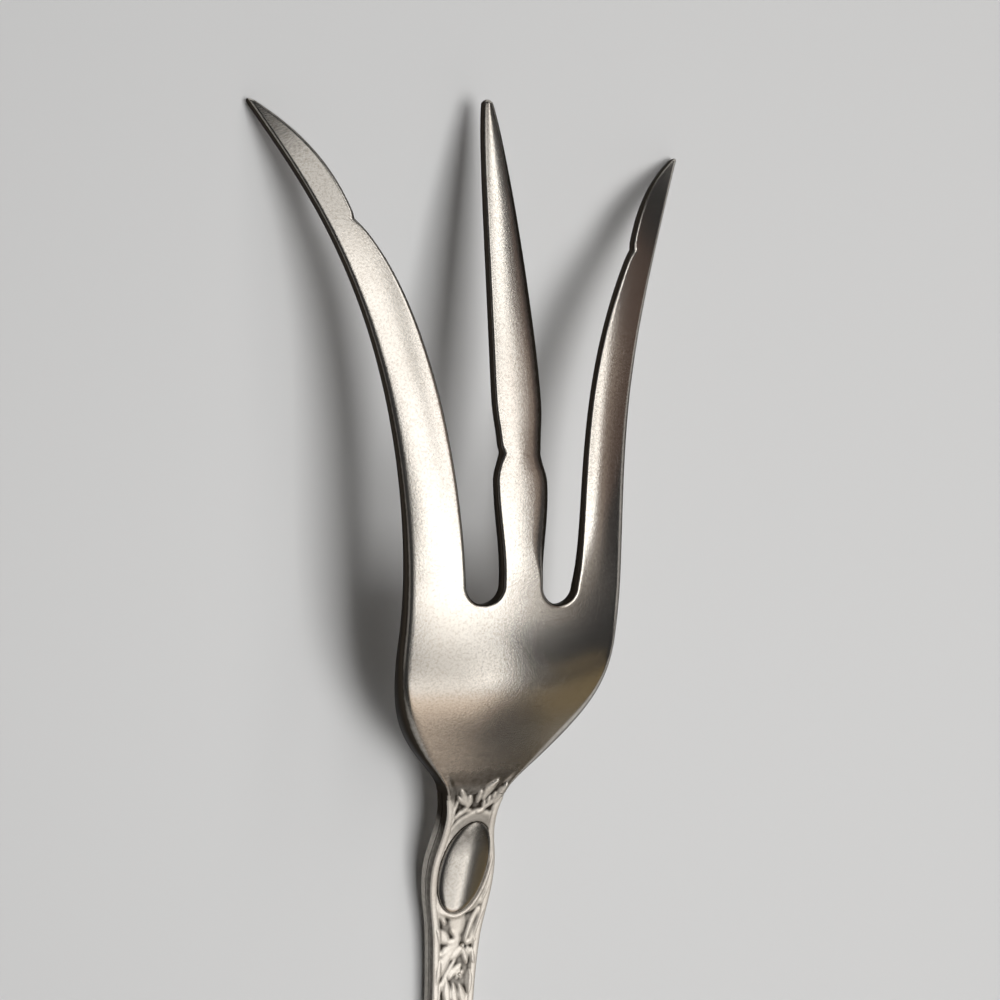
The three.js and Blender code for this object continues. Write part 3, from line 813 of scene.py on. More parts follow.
    def neck_end(self, ring, back, columns):
        """Closes the neck round the tang, a flat bar that runs into the handle."""
        inside = np.flatnonzero(np.abs(back[:, 0]) <= TANG_HALF)
        first, last = inside[0], inside[-1]
        ring = list(ring)
        half = len(ring) // 2
        back_row = ring[:columns]
        front_row = ring[half:half + columns][::-1]
        runs = np.concatenate([[0], -np.linspace(2 * MM, TANG_LENGTH, 24)])
        rows = []
        for station in runs:
            middle = handle_seam(station)
            deep = TANG_HALF_THICKNESS * np.hypot(1, back_slope(station))
            x = back[first:last + 1, 0]
            upper = np.column_stack([x, np.full_like(x, station), np.full_like(x, middle + deep)])
            lower = np.column_stack([x, np.full_like(x, station), np.full_like(x, middle - deep)])
            rows.append(np.concatenate([upper, lower[::-1]]))
        index = self.add_rings(np.array(rows), 1.0)
        count = last - first + 1
        upper, lower = index[0, :count], index[0, count:][::-1]
        for i in range(count - 1):
            self.faces.append([back_row[first + i], back_row[first + i + 1], upper[i + 1], upper[i]])
            self.faces.append([lower[i], lower[i + 1], front_row[first + i + 1], front_row[first + i]])
        right_wall = [*back_row[last:], *ring[columns:half], *front_row[last:][::-1]]
        self.faces.append([*right_wall, lower[-1], upper[-1]])
        left_wall = [*back_row[:first + 1][::-1], *ring[half + columns:][::-1], *front_row[:first + 1]]
        self.faces.append([*left_wall, lower[0], upper[0]])
        end_upper, end_lower = index[-1, :count], index[-1, count:][::-1]
        self.faces.append([*end_upper, *end_lower[::-1]])


def make_head(settings, handle, material):
    maker = HeadMaker(settings)
    left, middle, right = maker.outer_tine(-1), maker.middle_tine(), maker.outer_tine(1)

    def relief(x, station):
        share = back_relief(x, station, NECK_LEAVES) * smoothstep(station, 4 * MM, 3 * MM)
        side_room = np.abs(x).max(axis=1, keepdims=True) + handle.corner - np.abs(x)
        ground = ground_share(side_room, handle) * smoothstep(station, 3.6 * MM, 0.2 * MM)
        rise, recess = struck(share, ground, side_room, handle, smoothstep(station, 3 * MM, 0.5 * MM))
        # Painted shade over the neck, away from its leaves
        tarnish_and_shade = NECK_PAINTED_SHADE * smoothstep(station, 11 * MM, 0) * smoothstep(share, 0.5, 0.1)
        return rise, np.maximum(recess, tarnish_and_shade)

    index, back, columns = maker.bowl(left, middle, right, relief)
    maker.neck_end(index[-1], back[-1], columns)
    points, recess = np.concatenate(maker.points), np.concatenate(maker.recess)
    matte = smoothstep(points[:, 1], *NECK_MATTE)
    return make_piece("fork_head_silver", points, maker.faces, material, recess=recess, matte=matte)


# Handle

FACE_COLUMNS = 61
CORNER_TURNS = np.radians([22, 45, 68])
# Painted shade down the walls of the back (1) and front (-1) shells, for the shadowed table that they
# mirror, darker near the neck
SHELL_WALL_PAINTED_SHADE = {1: (0.05, 0.25, 0.6, 0.55, 0.35), -1: (0.1, 0.15, 0.2, 0.25, 0.3)}
NECK_WALL_PAINTED_SHADE = (0.15, 0.5, 0.9, 1.0, 1.0)
GROUND_DULLNESS = 0.38
NECK_GROUND_DULLNESS = 0.22
# Painted shade over the leaves and ground near the neck
NECK_LEAF_PAINTED_SHADE = 0.23
SLOPE_DULLNESS, POCKET_DULLNESS = 0.4, 0.9
# Share of the oval's rim that shows at its upper left
RIM_LEAST = 0.2
BORDER_FADE = 0.35 * MM


def handle_stations():
    """Stations of the handle from its end to its mouth, closest where the ornament is finest."""
    quarter = np.linspace(0, np.pi / 2, 46)[:-1]
    end = -END_WIDEST - (HANDLE_LENGTH - END_WIDEST) * np.cos(quarter)
    runs = spaced((-END_WIDEST, -28 * MM, 0.36 * MM), (-28 * MM, SHELL_MOUTH, 0.145 * MM))
    return np.concatenate([end, [-END_WIDEST], runs])


def shell_section(stations, side, inset, corner):
    """Rows of x and height over one face of the handle, set in from the outside."""
    half = (handle_half(stations) - inset)[:, None]
    seam = handle_seam(stations)[:, None]
    face = (back_height(stations) if side > 0 else handle_underside(stations))[:, None]
    lean = np.hypot(1, back_slope(stations))[:, None]
    depth = np.maximum(np.abs(face - seam) - inset * lean, 0.15 * MM)
    radius = np.minimum(np.minimum(corner, depth / 2), half / 2)
    flat = half - radius
    foot = np.full_like(half, SEAM / 2)
    x_right = [half, half] + [flat + radius * math.cos(a) for a in CORNER_TURNS]
    rise_right = [foot, (foot + depth - radius) / 2]
    rise_right += [depth - radius + radius * math.sin(a) for a in CORNER_TURNS]
    across = np.linspace(1, -1, FACE_COLUMNS)
    x = np.hstack([*x_right, flat * across, *[-v for v in x_right[::-1]]])
    rise = np.hstack([*rise_right, np.repeat(depth, FACE_COLUMNS, axis=1), *rise_right[::-1]])
    if side > 0:
        rise = rise - BACK_CROWN * (x / half) ** 2 * (rise > foot)
    return x, seam + side * rise


def make_shell(name, side, relief, settings, material):
    """One struck half of the handle, hollow inside, with its relief on the outside."""
    stations = handle_stations()
    rows = len(stations)
    x, z = shell_section(stations, side, 0.0, settings.corner)
    count = x.shape[1]
    first = (count - FACE_COLUMNS) // 2
    face = slice(first, first + FACE_COLUMNS)
    along = np.repeat(stations[:, None], count, axis=1)
    rise, recess_share = relief(x[:, face], along[:, face])
    lean = back_slope(stations)[:, None] if side > 0 else np.zeros((rows, 1))
    z[:, face] += side * rise / np.hypot(1, lean)
    along[:, face] -= rise * lean / np.hypot(1, lean)
    along = np.minimum(along, SHELL_MOUTH)
    outer = np.stack([x, along, z], axis=-1)
    share = (HANDLE_LENGTH - END_WALL + SHELL_MOUTH) / (HANDLE_LENGTH + SHELL_MOUTH)
    inner_stations = SHELL_MOUTH + (stations - SHELL_MOUTH) * share
    ix, iz = shell_section(inner_stations, side, WALL, settings.corner)
    inner = np.stack([ix, np.repeat(inner_stations[:, None], count, axis=1), iz], axis=-1)
    index = np.arange(rows * count).reshape(rows, count)
    inside = index + rows * count
    faces = grid_faces(index) + grid_faces(inside)
    for column in (0, count - 1):
        faces += grid_faces(np.stack([index[:, column], inside[:, column]], axis=1))
    faces += grid_faces(np.stack([index[-1], inside[-1]], axis=0))
    for end in (index[0], inside[0]):
        for i in range(count // 2 - 1):
            faces.append([end[i], end[i + 1], end[-2 - i], end[-1 - i]])
        middle = count // 2
        faces.append([end[middle - 1], end[middle], end[middle + 1]])
    faces.append([index[0, 0], index[0, -1], inside[0, -1], inside[0, 0]])
    recess = np.zeros((2, rows, count))
    at_neck = smoothstep(stations, -7 * MM, -1 * MM)[:, None]
    # Painted shade down the walls, darker towards the neck
    wall = np.array(SHELL_WALL_PAINTED_SHADE[side]) * (1 - at_neck) + np.array(NECK_WALL_PAINTED_SHADE) * at_neck
    recess[0][:, :first] = wall[:, ::-1]
    recess[0][:, first + FACE_COLUMNS:] = wall
    recess[0][:, face] = recess_share
    recess[1] = 1.0
    points = np.concatenate([outer.reshape(-1, 3), inner.reshape(-1, 3)])
    return make_piece(name, points, faces, material, recess=recess)


def ground_share(side_room, settings):
    """Where the ground between the leaves is struck down: all but a border along the edge."""
    return smoothstep(side_room, settings.border_width, settings.border_width + BORDER_FADE)


def struck(share, ground, side_room, settings, near_neck):
    """Height of leaves on their ground and the oxide in their hollows and ground, with painted shade
    over them near the neck.
    """
    leaf = share * settings.relief * smoothstep(side_room, 0.1 * MM, 0.5 * MM)
    rise = blurred(leaf - ground * settings.ground_depth, 1)
    hollow = (blurred(rise, 4) - rise) / settings.relief
    tarnish_and_shade = GROUND_DULLNESS + (NECK_GROUND_DULLNESS - GROUND_DULLNESS) * near_neck
    tarnish_and_shade = tarnish_and_shade * blurred(ground * smoothstep(share, 0.6, 0.15), 1)
    return rise, np.clip(1.1 * hollow + tarnish_and_shade + NECK_LEAF_PAINTED_SHADE * near_neck, 0, 1)


def back_face(settings):
    leaves = NECK_LEAVES + flower_petals() + spray_leaves()

    def relief(x, station):
        px, ps = x / MM, station / MM
        share = back_relief(x, station, leaves)
        side_room = handle_half(station) - np.abs(x)
        outside = rim_distance(px, ps)
        clear = 0.2 + 0.9 * smoothstep(ps, -7, -5)
        ground = ground_share(side_room, settings) * smoothstep(outside, clear, clear + 0.4)
        across, along = oval_place(px, ps)
        corner = across * MM / PLATE_HALF_WIDTH - along * MM / PLATE_HALF_LENGTH
        rim = np.clip(1 - (outside / (settings.rim_width / MM / 2)) ** 2, 0, 1)
        rim = rim * (RIM_LEAST + (1 - RIM_LEAST) * smoothstep(corner, 0.2, 1.2))
        pocket = smoothstep(-outside, 0.25, 0.4)
        rise, recess = struck(share, ground, side_room, settings, smoothstep(ps, -6, -3))
        # Painted shade carried on from the neck over the handle's mouth
        tarnish_and_shade = NECK_PAINTED_SHADE * smoothstep(station, -2 * MM, 0) * smoothstep(share, 0.5, 0.1)
        recess = np.maximum(recess, tarnish_and_shade * smoothstep(side_room, 0.2 * MM, 0.6 * MM))
        slope = smoothstep(outside, 1.3, 0.4) * smoothstep(ps, -7.5, -4.5)
        recess = np.maximum(recess, np.maximum(SLOPE_DULLNESS * slope, POCKET_DULLNESS * pocket))
        return rise + rim * settings.rim_height - pocket * settings.pocket_depth, recess

    return relief


def front_face(settings):
    leaves = spray_leaves()

    def relief(x, station):
        share = np.zeros_like(x)
        for leaf in leaves:
            raise_leaf(share, x / MM, station / MM, leaf)
        side_room = handle_half(station) - np.abs(x)
        ground = ground_share(side_room, settings) * smoothstep(station, -24 * MM, -28 * MM)
        rise = -ground * settings.front_depth * (1 - np.clip(share, 0, 1))
        hollow = (blurred(rise, 3) - rise) / settings.front_depth
        return rise, np.clip(2.0 * hollow + 0.4 * ground * (share < 0.2), 0, 1)

    return relief


def thread_tree():
    """Node tree: a low round thread along a path, with its width and height as inputs."""
    tree, given = node_group("Edge thread", "Geometry", {
        "Geometry": "Geometry", "Half Width": "Float", "Half Height": "Float",
        "Spacing": "Float", "Material": "Material",
    }, {"Geometry": "Geometry"})
    path = add(tree, "GeometryNodeMeshToCurve", {"Mesh": given["Geometry"]})
    even = add(tree, "GeometryNodeResampleCurve", {
        "Curve": path.outputs["Curve"], "Length": given["Spacing"],
    }, mode="LENGTH")
    upright = add(tree, "GeometryNodeSetCurveNormal", {"Curve": even.outputs["Curve"]}, mode="Z_UP")
    ring = add(tree, "GeometryNodeCurvePrimitiveCircle", {"Resolution": 12, "Radius": 1.0})
    flat = add(tree, "ShaderNodeCombineXYZ", {
        "X": given["Half Width"], "Y": given["Half Height"], "Z": 1.0,
    })
    profile = add(tree, "GeometryNodeTransform", {
        "Geometry": ring.outputs["Curve"], "Scale": flat.outputs["Vector"],
    })
    swept = add(tree, "GeometryNodeCurveToMesh", {
        "Curve": upright.outputs["Curve"], "Profile Curve": profile.outputs["Geometry"],
        "Fill Caps": True,
    })
    finish_tree(tree, swept.outputs["Mesh"], given["Material"])
    return tree


def berry_tree():
    """Node tree: a round berry on each point, as large as the point's radius times the scale."""
    tree, given = node_group("Berries", "Geometry", {
        "Geometry": "Geometry", "Scale": "Float", "Material": "Material",
    }, {"Geometry": "Geometry"})
    berry = add(tree, "GeometryNodeMeshIcoSphere", {"Radius": 1.0, "Subdivisions": 3})
    radius = add(tree, "GeometryNodeInputNamedAttribute", {"Name": "radius"}, data_type="FLOAT")
    size = maths(tree, "MULTIPLY", radius.outputs["Attribute"], given["Scale"])
    placed = add(tree, "GeometryNodeInstanceOnPoints", {
        "Points": given["Geometry"], "Instance": berry.outputs["Mesh"], "Scale": size,
    })
    finish_tree(tree, placed.outputs["Instances"], given["Material"])
    return tree


def finish_tree(tree, geometry, material):
    """Ends a tree in real, smooth geometry with its material."""
    whole = add(tree, "GeometryNodeRealizeInstances", {"Geometry": geometry})
    smooth = add(tree, "GeometryNodeSetShadeSmooth", {"Geometry": whole.outputs["Geometry"]})
    dressed = add(tree, "GeometryNodeSetMaterial", {
        "Geometry": smooth.outputs["Geometry"], "Material": material,
    })
    add(tree, "NodeGroupOutput", {"Geometry": dressed.outputs["Geometry"]})


def make_threads(settings, material):
    """The raised thread along both edges of the handle's back and round its end."""
    inset = settings.thread_inset
    reach = HANDLE_LENGTH - END_WIDEST - inset
    down = spaced((-0.1 * MM, -END_WIDEST, 0.5 * MM))
    turns = np.linspace(0, np.pi / 2, 40)[1:]
    stations = np.concatenate([down, -END_WIDEST - reach * np.sin(turns)])
    closing = np.clip((-stations - END_WIDEST) / reach, 0, 1)
    rounded = (END_HALF - inset) * np.sqrt(1 - closing**2)
    half = np.where(stations < -END_WIDEST, rounded, handle_half(stations) - inset)
    height = crowned_back(half, stations)
    height -= settings.thread_height * smoothstep(stations, -3.5 * MM, -0.3 * MM)
    right = np.column_stack([half, stations, height])
    left = (right * (-1, 1, 1))[::-1][1:]
    points = np.concatenate([right, left])
    edges = [(i, i + 1) for i in range(len(points) - 1)]
    return baked_nodes("handle_edge_thread", points, edges, thread_tree(), {
        "Half Width": settings.thread_width / 2, "Half Height": settings.thread_height,
        "Spacing": 0.4 * MM, "Material": material,
    })


# Place and radius of each berry, in millimetres
BERRIES = [(*FLOWER_AT, 0.26), (0.8, -20.35, 0.26)]


def make_berries(material):
    """Berries in the flower and where the stems cross."""
    x, station, radius = np.array(BERRIES).T * MM
    points = np.column_stack([x, station, crowned_back(x, station)])
    values = {"Scale": 1.0, "Material": material}
    return baked_nodes("handle_berries", points, [], berry_tree(), values, radius)


PLATE_RINGS, PLATE_SPOKES = 22, 96
PLATE_ROUND, PLATE_FALL = 0.5 * MM, 0.26 * MM
# The plate's underside over the bottom of its pocket
SEAT_GAP = 0.02 * MM
# Painted shade over the plate's top and round its edge, and a darker right half for its lettering and
# its shaded side
PLATE_TOP_PAINTED_SHADE, PLATE_RIGHT_LETTERING_AND_SHADE, PLATE_EDGE_PAINTED_SHADE = 0.55, 0.14, 0.5


def make_plate(settings, material):
    """The bare domed oval in its rim."""
    spokes = PLATE_SPOKES
    shares = np.sin(np.linspace(0, np.pi / 2, PLATE_RINGS))
    turns = np.linspace(0, 2 * np.pi, spokes, endpoint=False)
    seat = -settings.pocket_depth + SEAT_GAP
    rows, tarnish_and_shade = [], []
    for share in shares[1:]:
        along = PLATE_HALF_LENGTH * share * np.sin(turns)
        x = PLATE_LEAN * along + PLATE_HALF_WIDTH * share * np.cos(turns)
        station = PLATE_AT + along
        curl = 1 - np.minimum(PLATE_HALF_WIDTH * (1 - share) / PLATE_ROUND, 1)
        fall = PLATE_FALL * (1 - np.sqrt(np.clip(1 - curl**2, 0, 1)))
        rise = settings.plate_edge + settings.plate_dome * (1 - share**2) - fall
        rows.append(np.column_stack([x, station, crowned_back(x, station) + rise]))
        # Painted shade on the top and edge; the right half darker for lettering and shade
        top = PLATE_TOP_PAINTED_SHADE * smoothstep(share * np.sin(turns), 0.0, 0.75)
        right = PLATE_RIGHT_LETTERING_AND_SHADE * smoothstep(share * np.cos(turns), -0.1, 0.12)
        edge = PLATE_EDGE_PAINTED_SHADE * smoothstep(share, 0.88, 1.0)
        tarnish_and_shade.append(np.maximum(np.maximum(top, right), edge))
    foot = rows[-1].copy()
    foot[:, 2] += seat - settings.plate_edge + PLATE_FALL
    rows.append(foot)
    tarnish_and_shade += [np.ones(spokes), tarnish_and_shade[0][:1], np.ones(1)]
    grid = np.array(rows)
    index = np.arange(grid.shape[0] * spokes).reshape(grid.shape[0], spokes)
    faces = grid_faces(np.concatenate([index, index[:, :1]], axis=1))
    top = len(grid) * spokes
    back = float(back_height(PLATE_AT))
    points = np.concatenate([grid.reshape(-1, 3), [
        (0, PLATE_AT, back + settings.plate_edge + settings.plate_dome),
        (0, PLATE_AT, back + seat),
    ]])
    for i in range(spokes):
        after = (i + 1) % spokes
        faces.append([top, index[0, i], index[0, after]])
        faces.append([top + 1, index[-1, after], index[-1, i]])
    return make_piece("oval_plate_silver", points, faces, material, recess=np.concatenate(tarnish_and_shade))


# Finishes

def add(tree, kind, inputs=(), **settings):
    """Adds a node. An input that is a socket is linked, and any other value is set."""
    made = tree.nodes.new(kind)
    for name, value in settings.items():
        setattr(made, name, value)
    for key, value in dict(inputs).items():
        if isinstance(value, bpy.types.NodeSocket):
            tree.links.new(value, made.inputs[key])
        else:
            made.inputs[key].default_value = value
    return made


def ramp(tree, value, low, high):
    """The value stretched from low to high over 0 to 1."""
    span = {"Value": value, "From Min": low, "From Max": high}
    return add(tree, "ShaderNodeMapRange", span).outputs["Result"]


def maths(tree, operation, a, b, clamp=False):
    made = add(tree, "ShaderNodeMath", {0: a, 1: b}, operation=operation, use_clamp=clamp)
    return made.outputs["Value"]


def noise(tree, vector, scale, detail, **more):
    """Soft noise from 0 to 1."""
    given = {"Vector": vector, "Scale": scale, "Detail": detail, **more}
    return add(tree, "ShaderNodeTexNoise", given).outputs["Fac"]


def mixed(tree, factor, first, second):
    """The first colour turned into the second by a factor."""
    given = {"Factor": factor, 6: first, 7: second}
    return add(tree, "ShaderNodeMix", given, data_type="RGBA").outputs[2]


def opaque(colour_of):
    return (*colour_of, 1)


def node_group(name, kind, inputs, outputs):
    """An empty node group with named inputs and outputs, and the sockets that it is given."""
    tree = bpy.data.node_groups.new(name, kind + "NodeTree")
    for in_out, sockets in (("INPUT", inputs), ("OUTPUT", outputs)):
        for socket, form in sockets.items():
            tree.interface.new_socket(socket, in_out=in_out, socket_type="NodeSocket" + form)
    return tree, tree.nodes.new("NodeGroupInput").outputs


def blank_material(name):
    """A material with an empty node tree."""
    material = bpy.data.materials.new(name)
    material.use_nodes = True
    material.node_tree.nodes.clear()
    return material, material.node_tree


# Turn, scale across and along, and the level from which a scratch shows
SCRATCHES = ((0.35, 8200, 420, 0.74), (-0.9, 7400, 520, 0.75), (1.9, 8800, 380, 0.75))
SCRATCH_FADE = 0.06
PIT_SCALE, GRAIN_SCALE, SPECKLE_SCALE, BREAK_SCALE = 1500.0, 4400.0, 3600.0, 1500.0


def handling_marks():
    """Node group: fine scratches in three directions, pits, polishing grain and speckle."""
    tree, given = node_group("Handling marks", "Shader", {
        "Vector": "Vector", "Scratches": "Float", "Pits": "Float", "Grain": "Float", "Speckle": "Float",
    }, {"Marks": "Float", "Speckle": "Float", "Height": "Float"})
    lines = None
    for turn, across, along, cut in SCRATCHES:
        mapped = add(tree, "ShaderNodeMapping", {
            "Vector": given["Vector"], "Rotation": (0, 0, turn), "Scale": (across, along, along),
        })
        line = ramp(tree, noise(tree, mapped.outputs["Vector"], 1.0, 1.0), cut, cut + SCRATCH_FADE)
        lines = line if lines is None else maths(tree, "MAXIMUM", lines, line)
    lines = maths(tree, "MULTIPLY", lines, given["Scratches"])
    cells = add(tree, "ShaderNodeTexVoronoi", {"Vector": given["Vector"], "Scale": PIT_SCALE})
    chosen = add(tree, "ShaderNodeSeparateColor", {"Color": cells.outputs["Color"]})
    some = ramp(tree, chosen.outputs["Red"], 0.6, 0.7)
    pits = maths(tree, "MULTIPLY", ramp(tree, cells.outputs["Distance"], 0.22, 0.08), some)
    pits = maths(tree, "MULTIPLY", pits, given["Pits"])
    grain = noise(tree, given["Vector"], GRAIN_SCALE, 3.0)
    fine = maths(tree, "MULTIPLY", grain, given["Grain"])
    dots = noise(tree, given["Vector"], SPECKLE_SCALE, 2.0)
    speckle = maths(tree, "MULTIPLY", ramp(tree, dots, 0.46, 0.66), given["Speckle"])
    marks = maths(tree, "MAXIMUM", lines, pits)
    height = maths(tree, "SUBTRACT", fine, maths(tree, "MULTIPLY", lines, 0.4))
    add(tree, "NodeGroupOutput", {"Marks": marks, "Speckle": speckle, "Height": height})
    return tree


def tarnish_and_shade_patches():
    """Node group: where the silver is darkened, from oxide in its recesses with painted shade down
    walls, neck and plate, and from large soft clouds.
    """
    tree, given = node_group("Tarnish and shade patches", "Shader", {
        "Vector": "Vector", "Oxide And Shade": "Float", "Clouds": "Float", "Scale": "Float",
    }, {"Oxide And Shade Mask": "Float", "Clouds": "Float"})
    large = noise(tree, given["Vector"], given["Scale"], 4.0, Roughness=0.6)
    clouds = maths(tree, "MULTIPLY", ramp(tree, large, 0.42, 0.72), given["Clouds"])
    broken = maths(tree, "SUBTRACT", noise(tree, given["Vector"], BREAK_SCALE, 3.0), 0.5)
    edge = maths(tree, "ADD", given["Oxide And Shade"], maths(tree, "MULTIPLY", broken, 0.3))
    inside = ramp(tree, given["Oxide And Shade"], 0.02, 0.1)
    recesses = maths(tree, "MULTIPLY", ramp(tree, edge, 0.12, 0.75), inside, clamp=True)
    add(tree, "NodeGroupOutput", {"Oxide And Shade Mask": recesses, "Clouds": clouds})
    return tree


# How much of what is seen at a glancing angle the worn metal still reflects
GLANCING = (0.4, 0.41, 0.42, 1.0)
MARK_STAIN = 0.35
CLOUD_ROUGHNESS, MATTE_ROUGHNESS, RECESS_ROUGHNESS = 0.1, 0.42, 0.12
BUMP_DEPTH = 0.05 * MM
Silver = namedtuple("Silver", "scratches pits grain speckle clouds cloud_scale roughness bump")


def silver_finish(name, groups, colours, silver):
    """Worn silver: bright metal with clouds of tarnish, oxide in its recesses and painted shade down
    its walls, scratches, pits and grain.
    """
    material, tree = blank_material(name)
    vector = add(tree, "ShaderNodeTexCoord").outputs["Object"]
    recess = add(tree, "ShaderNodeAttribute", attribute_name="recess").outputs["Fac"]
    matte = add(tree, "ShaderNodeAttribute", attribute_name="matte").outputs["Fac"]
    marks = add(tree, "ShaderNodeGroup", node_tree=groups["marks"])
    for key in ("Scratches", "Pits", "Grain", "Speckle"):
        marks.inputs[key].default_value = getattr(silver, key.lower())
    tree.links.new(vector, marks.inputs["Vector"])
    tarnish = add(tree, "ShaderNodeGroup", node_tree=groups["tarnish"])
    tarnish.inputs["Clouds"].default_value = silver.clouds
    tarnish.inputs["Scale"].default_value = silver.cloud_scale
    tree.links.new(vector, tarnish.inputs["Vector"])
    tree.links.new(recess, tarnish.inputs["Oxide And Shade"])
    clouds, recesses = tarnish.outputs["Clouds"], tarnish.outputs["Oxide And Shade Mask"]
    stain = maths(tree, "MULTIPLY", marks.outputs["Marks"], MARK_STAIN)
    stain = maths(tree, "ADD", stain, marks.outputs["Speckle"], clamp=True)
    tone = mixed(tree, clouds, opaque(colours.silver), opaque(colours.tarnish))
    tone = mixed(tree, stain, tone, opaque(colours.tarnish))
    # The dark oxide colour over the recesses mask, which also paints shade down the walls, on the neck
    # and on the plate
    tone = mixed(tree, recesses, tone, opaque(colours.recess))
    rough = silver.roughness
    for place, share in (
        (clouds, CLOUD_ROUGHNESS), (matte, MATTE_ROUGHNESS), (recesses, RECESS_ROUGHNESS),
    ):
        rough = maths(tree, "ADD", maths(tree, "MULTIPLY", place, share), rough, clamp=True)
    bump = add(tree, "ShaderNodeBump", {
        "Height": marks.outputs["Height"], "Strength": silver.bump, "Distance": BUMP_DEPTH,
    })
    shader = add(tree, "ShaderNodeBsdfPrincipled", {
        "Base Color": tone, "Metallic": 1.0, "Roughness": rough, "Normal": bump.outputs["Normal"],
        "Specular Tint": GLANCING,
    })
    add(tree, "ShaderNodeOutputMaterial", {"Surface": shader.outputs["BSDF"]})
    return material


def cement_finish(colours):
    """The dark cement that fills the handle."""
    material, tree = blank_material("Handle cement")
    lumps = noise(tree, add(tree, "ShaderNodeTexCoord").outputs["Object"], 700.0, 6.0)
    tone = mixed(tree, lumps, opaque(colours.cement), opaque(0.45 * c for c in colours.cement))
    bump = add(tree, "ShaderNodeBump", {"Height": lumps, "Strength": 0.5, "Distance": 0.2 * MM})
    shader = add(tree, "ShaderNodeBsdfPrincipled", {
        "Base Color": tone, "Roughness": 0.85, "Normal": bump.outputs["Normal"],
    })
    add(tree, "ShaderNodeOutputMaterial", {"Surface": shader.outputs["BSDF"]})
    return material


FINISHES = {
    "head": Silver(0.25, 0.8, 0.5, 0.4, 0.3, 45.0, 0.19, 0.35),
    "handle": Silver(0.2, 0.4, 0.6, 0.2, 0.3, 160.0, 0.62, 0.3),
    "plate": Silver(0.35, 0.8, 0.4, 0.3, 0.2, 120.0, 0.19, 0.35),
}


def finish(name):
    """The named silver finish, made once."""
    title = f"Worn silver {name}"
    found = bpy.data.materials.get(title)
    if found:
        return found
    groups = {
        "marks": bpy.data.node_groups.get("Handling marks") or handling_marks(),
        "tarnish": bpy.data.node_groups.get("Tarnish and shade patches") or tarnish_and_shade_patches(),
    }
    return silver_finish(title, groups, bpy.context.scene.fork_colours, FINISHES[name])


# Settings

def length(name, description, default):
    return FloatProperty(
        name=name, description=description, default=default,
        min=0.0, subtype="DISTANCE", unit="LENGTH", precision=5,
    )


def colour(name, description, default):
    return FloatVectorProperty(
        name=name, description=description, default=default,
        size=3, min=0.0, max=1.0, subtype="COLOR",
    )


def radiance(name, description, default):
    return FloatProperty(
        name=name, description=description, default=default,
        min=0.0, subtype="FACTOR", soft_max=40.0,
    )


class ForkHeadSettings(bpy.types.PropertyGroup):
    """Sizes of the head that its solid leaves square"""

    outer_edge: length("Outer Edge", "Width of the rounded rim on the right of the head", 0.9 * MM)
    left_edge: length("Left Edge", "Width of the rounded rim on the left of the head", 0.75 * MM)
    blade_edge: length("Blade Edge", "Width of the rounded rims outside the tips", 0.45 * MM)
    inner_edge: length("Inner Edge", "Width of the rounded rims along the gaps", 0.45 * MM)
    middle_edge: length(
        "Middle Edge", "Width of the worn rim on the right of the middle tine", 1.95 * MM
    )
    neck_edge: length(
        "Neck Edge", "Width of the rounded rims where the neck meets the handle", 0.35 * MM
    )
    shoulder_edge: length("Shoulder Edge", "Extra width of the rounded rims above the neck", 0.6 * MM)
    front_edge: length("Front Edge", "Radius of the rims on the front", 0.35 * MM)
    tine_crown: length("Tine Crown", "How much lower the rims of a tine are than its middle", 0.12 * MM)
    nick_bevel: length("Nick Bevel", "Softening of the nicks in the outer tines", 0.18 * MM)
    waist_bevel: length("Waist Bevel", "Softening of the waist of the middle tine", 0.45 * MM)
    ripple: length("Ripple", "Height of the unevenness left by hand polishing", 0.012 * MM)


class ForkHandleSettings(bpy.types.PropertyGroup):
    """Sizes of the handle's relief, edges and oval plate"""

    relief: length("Relief", "Height of the leaves above the ground", 0.28 * MM)
    ground_depth: length("Ground Depth", "Depth of the ground between the leaves", 0.22 * MM)
    front_depth: length("Front Depth", "Depth of the ground on the front", 0.3 * MM)
    corner: length("Corner", "Radius of the handle's long edges", 0.35 * MM)
    border_width: length("Border Width", "Width of the plain border along the edges", 0.8 * MM)
    thread_width: length("Thread Width", "Width of the raised thread on the border", 0.9 * MM)
    thread_height: length("Thread Height", "Height of the raised thread", 0.17 * MM)
    thread_inset: length("Thread Inset", "Middle of the thread from the handle's side", 0.46 * MM)
    rim_width: length("Rim Width", "Width of the oval's rim", 0.8 * MM)
    rim_height: length("Rim Height", "Height of the oval's rim", 0.26 * MM)
    pocket_depth: length("Pocket Depth", "Depth of the seat under the oval plate", 0.3 * MM)
    plate_edge: length("Plate Edge", "Height of the plate at its edge", 0.32 * MM)
    plate_dome: length("Plate Dome", "Rise of the plate from its edge to its middle", 0.42 * MM)


class ForkColours(bpy.types.PropertyGroup):
    """Colours of the fork and the table"""

    silver: colour("Silver", "Bright worn silver", (0.83, 0.79, 0.73))
    tarnish: colour("Tarnish", "Dulled silver", (0.5, 0.44, 0.37))
    # Oxide colour of the relief's recesses, also used as painted shade down the walls, on the neck and
    # on the plate
    recess: colour(
        "Oxide And Shade", "Oxide in the recesses of the relief and down the walls", (0.052, 0.043, 0.034)
    )
    cement: colour("Cement", "Filling of the handle", (0.09, 0.065, 0.045))
    table: colour("Table", "Pale table under the fork", (0.7, 0.71, 0.72))


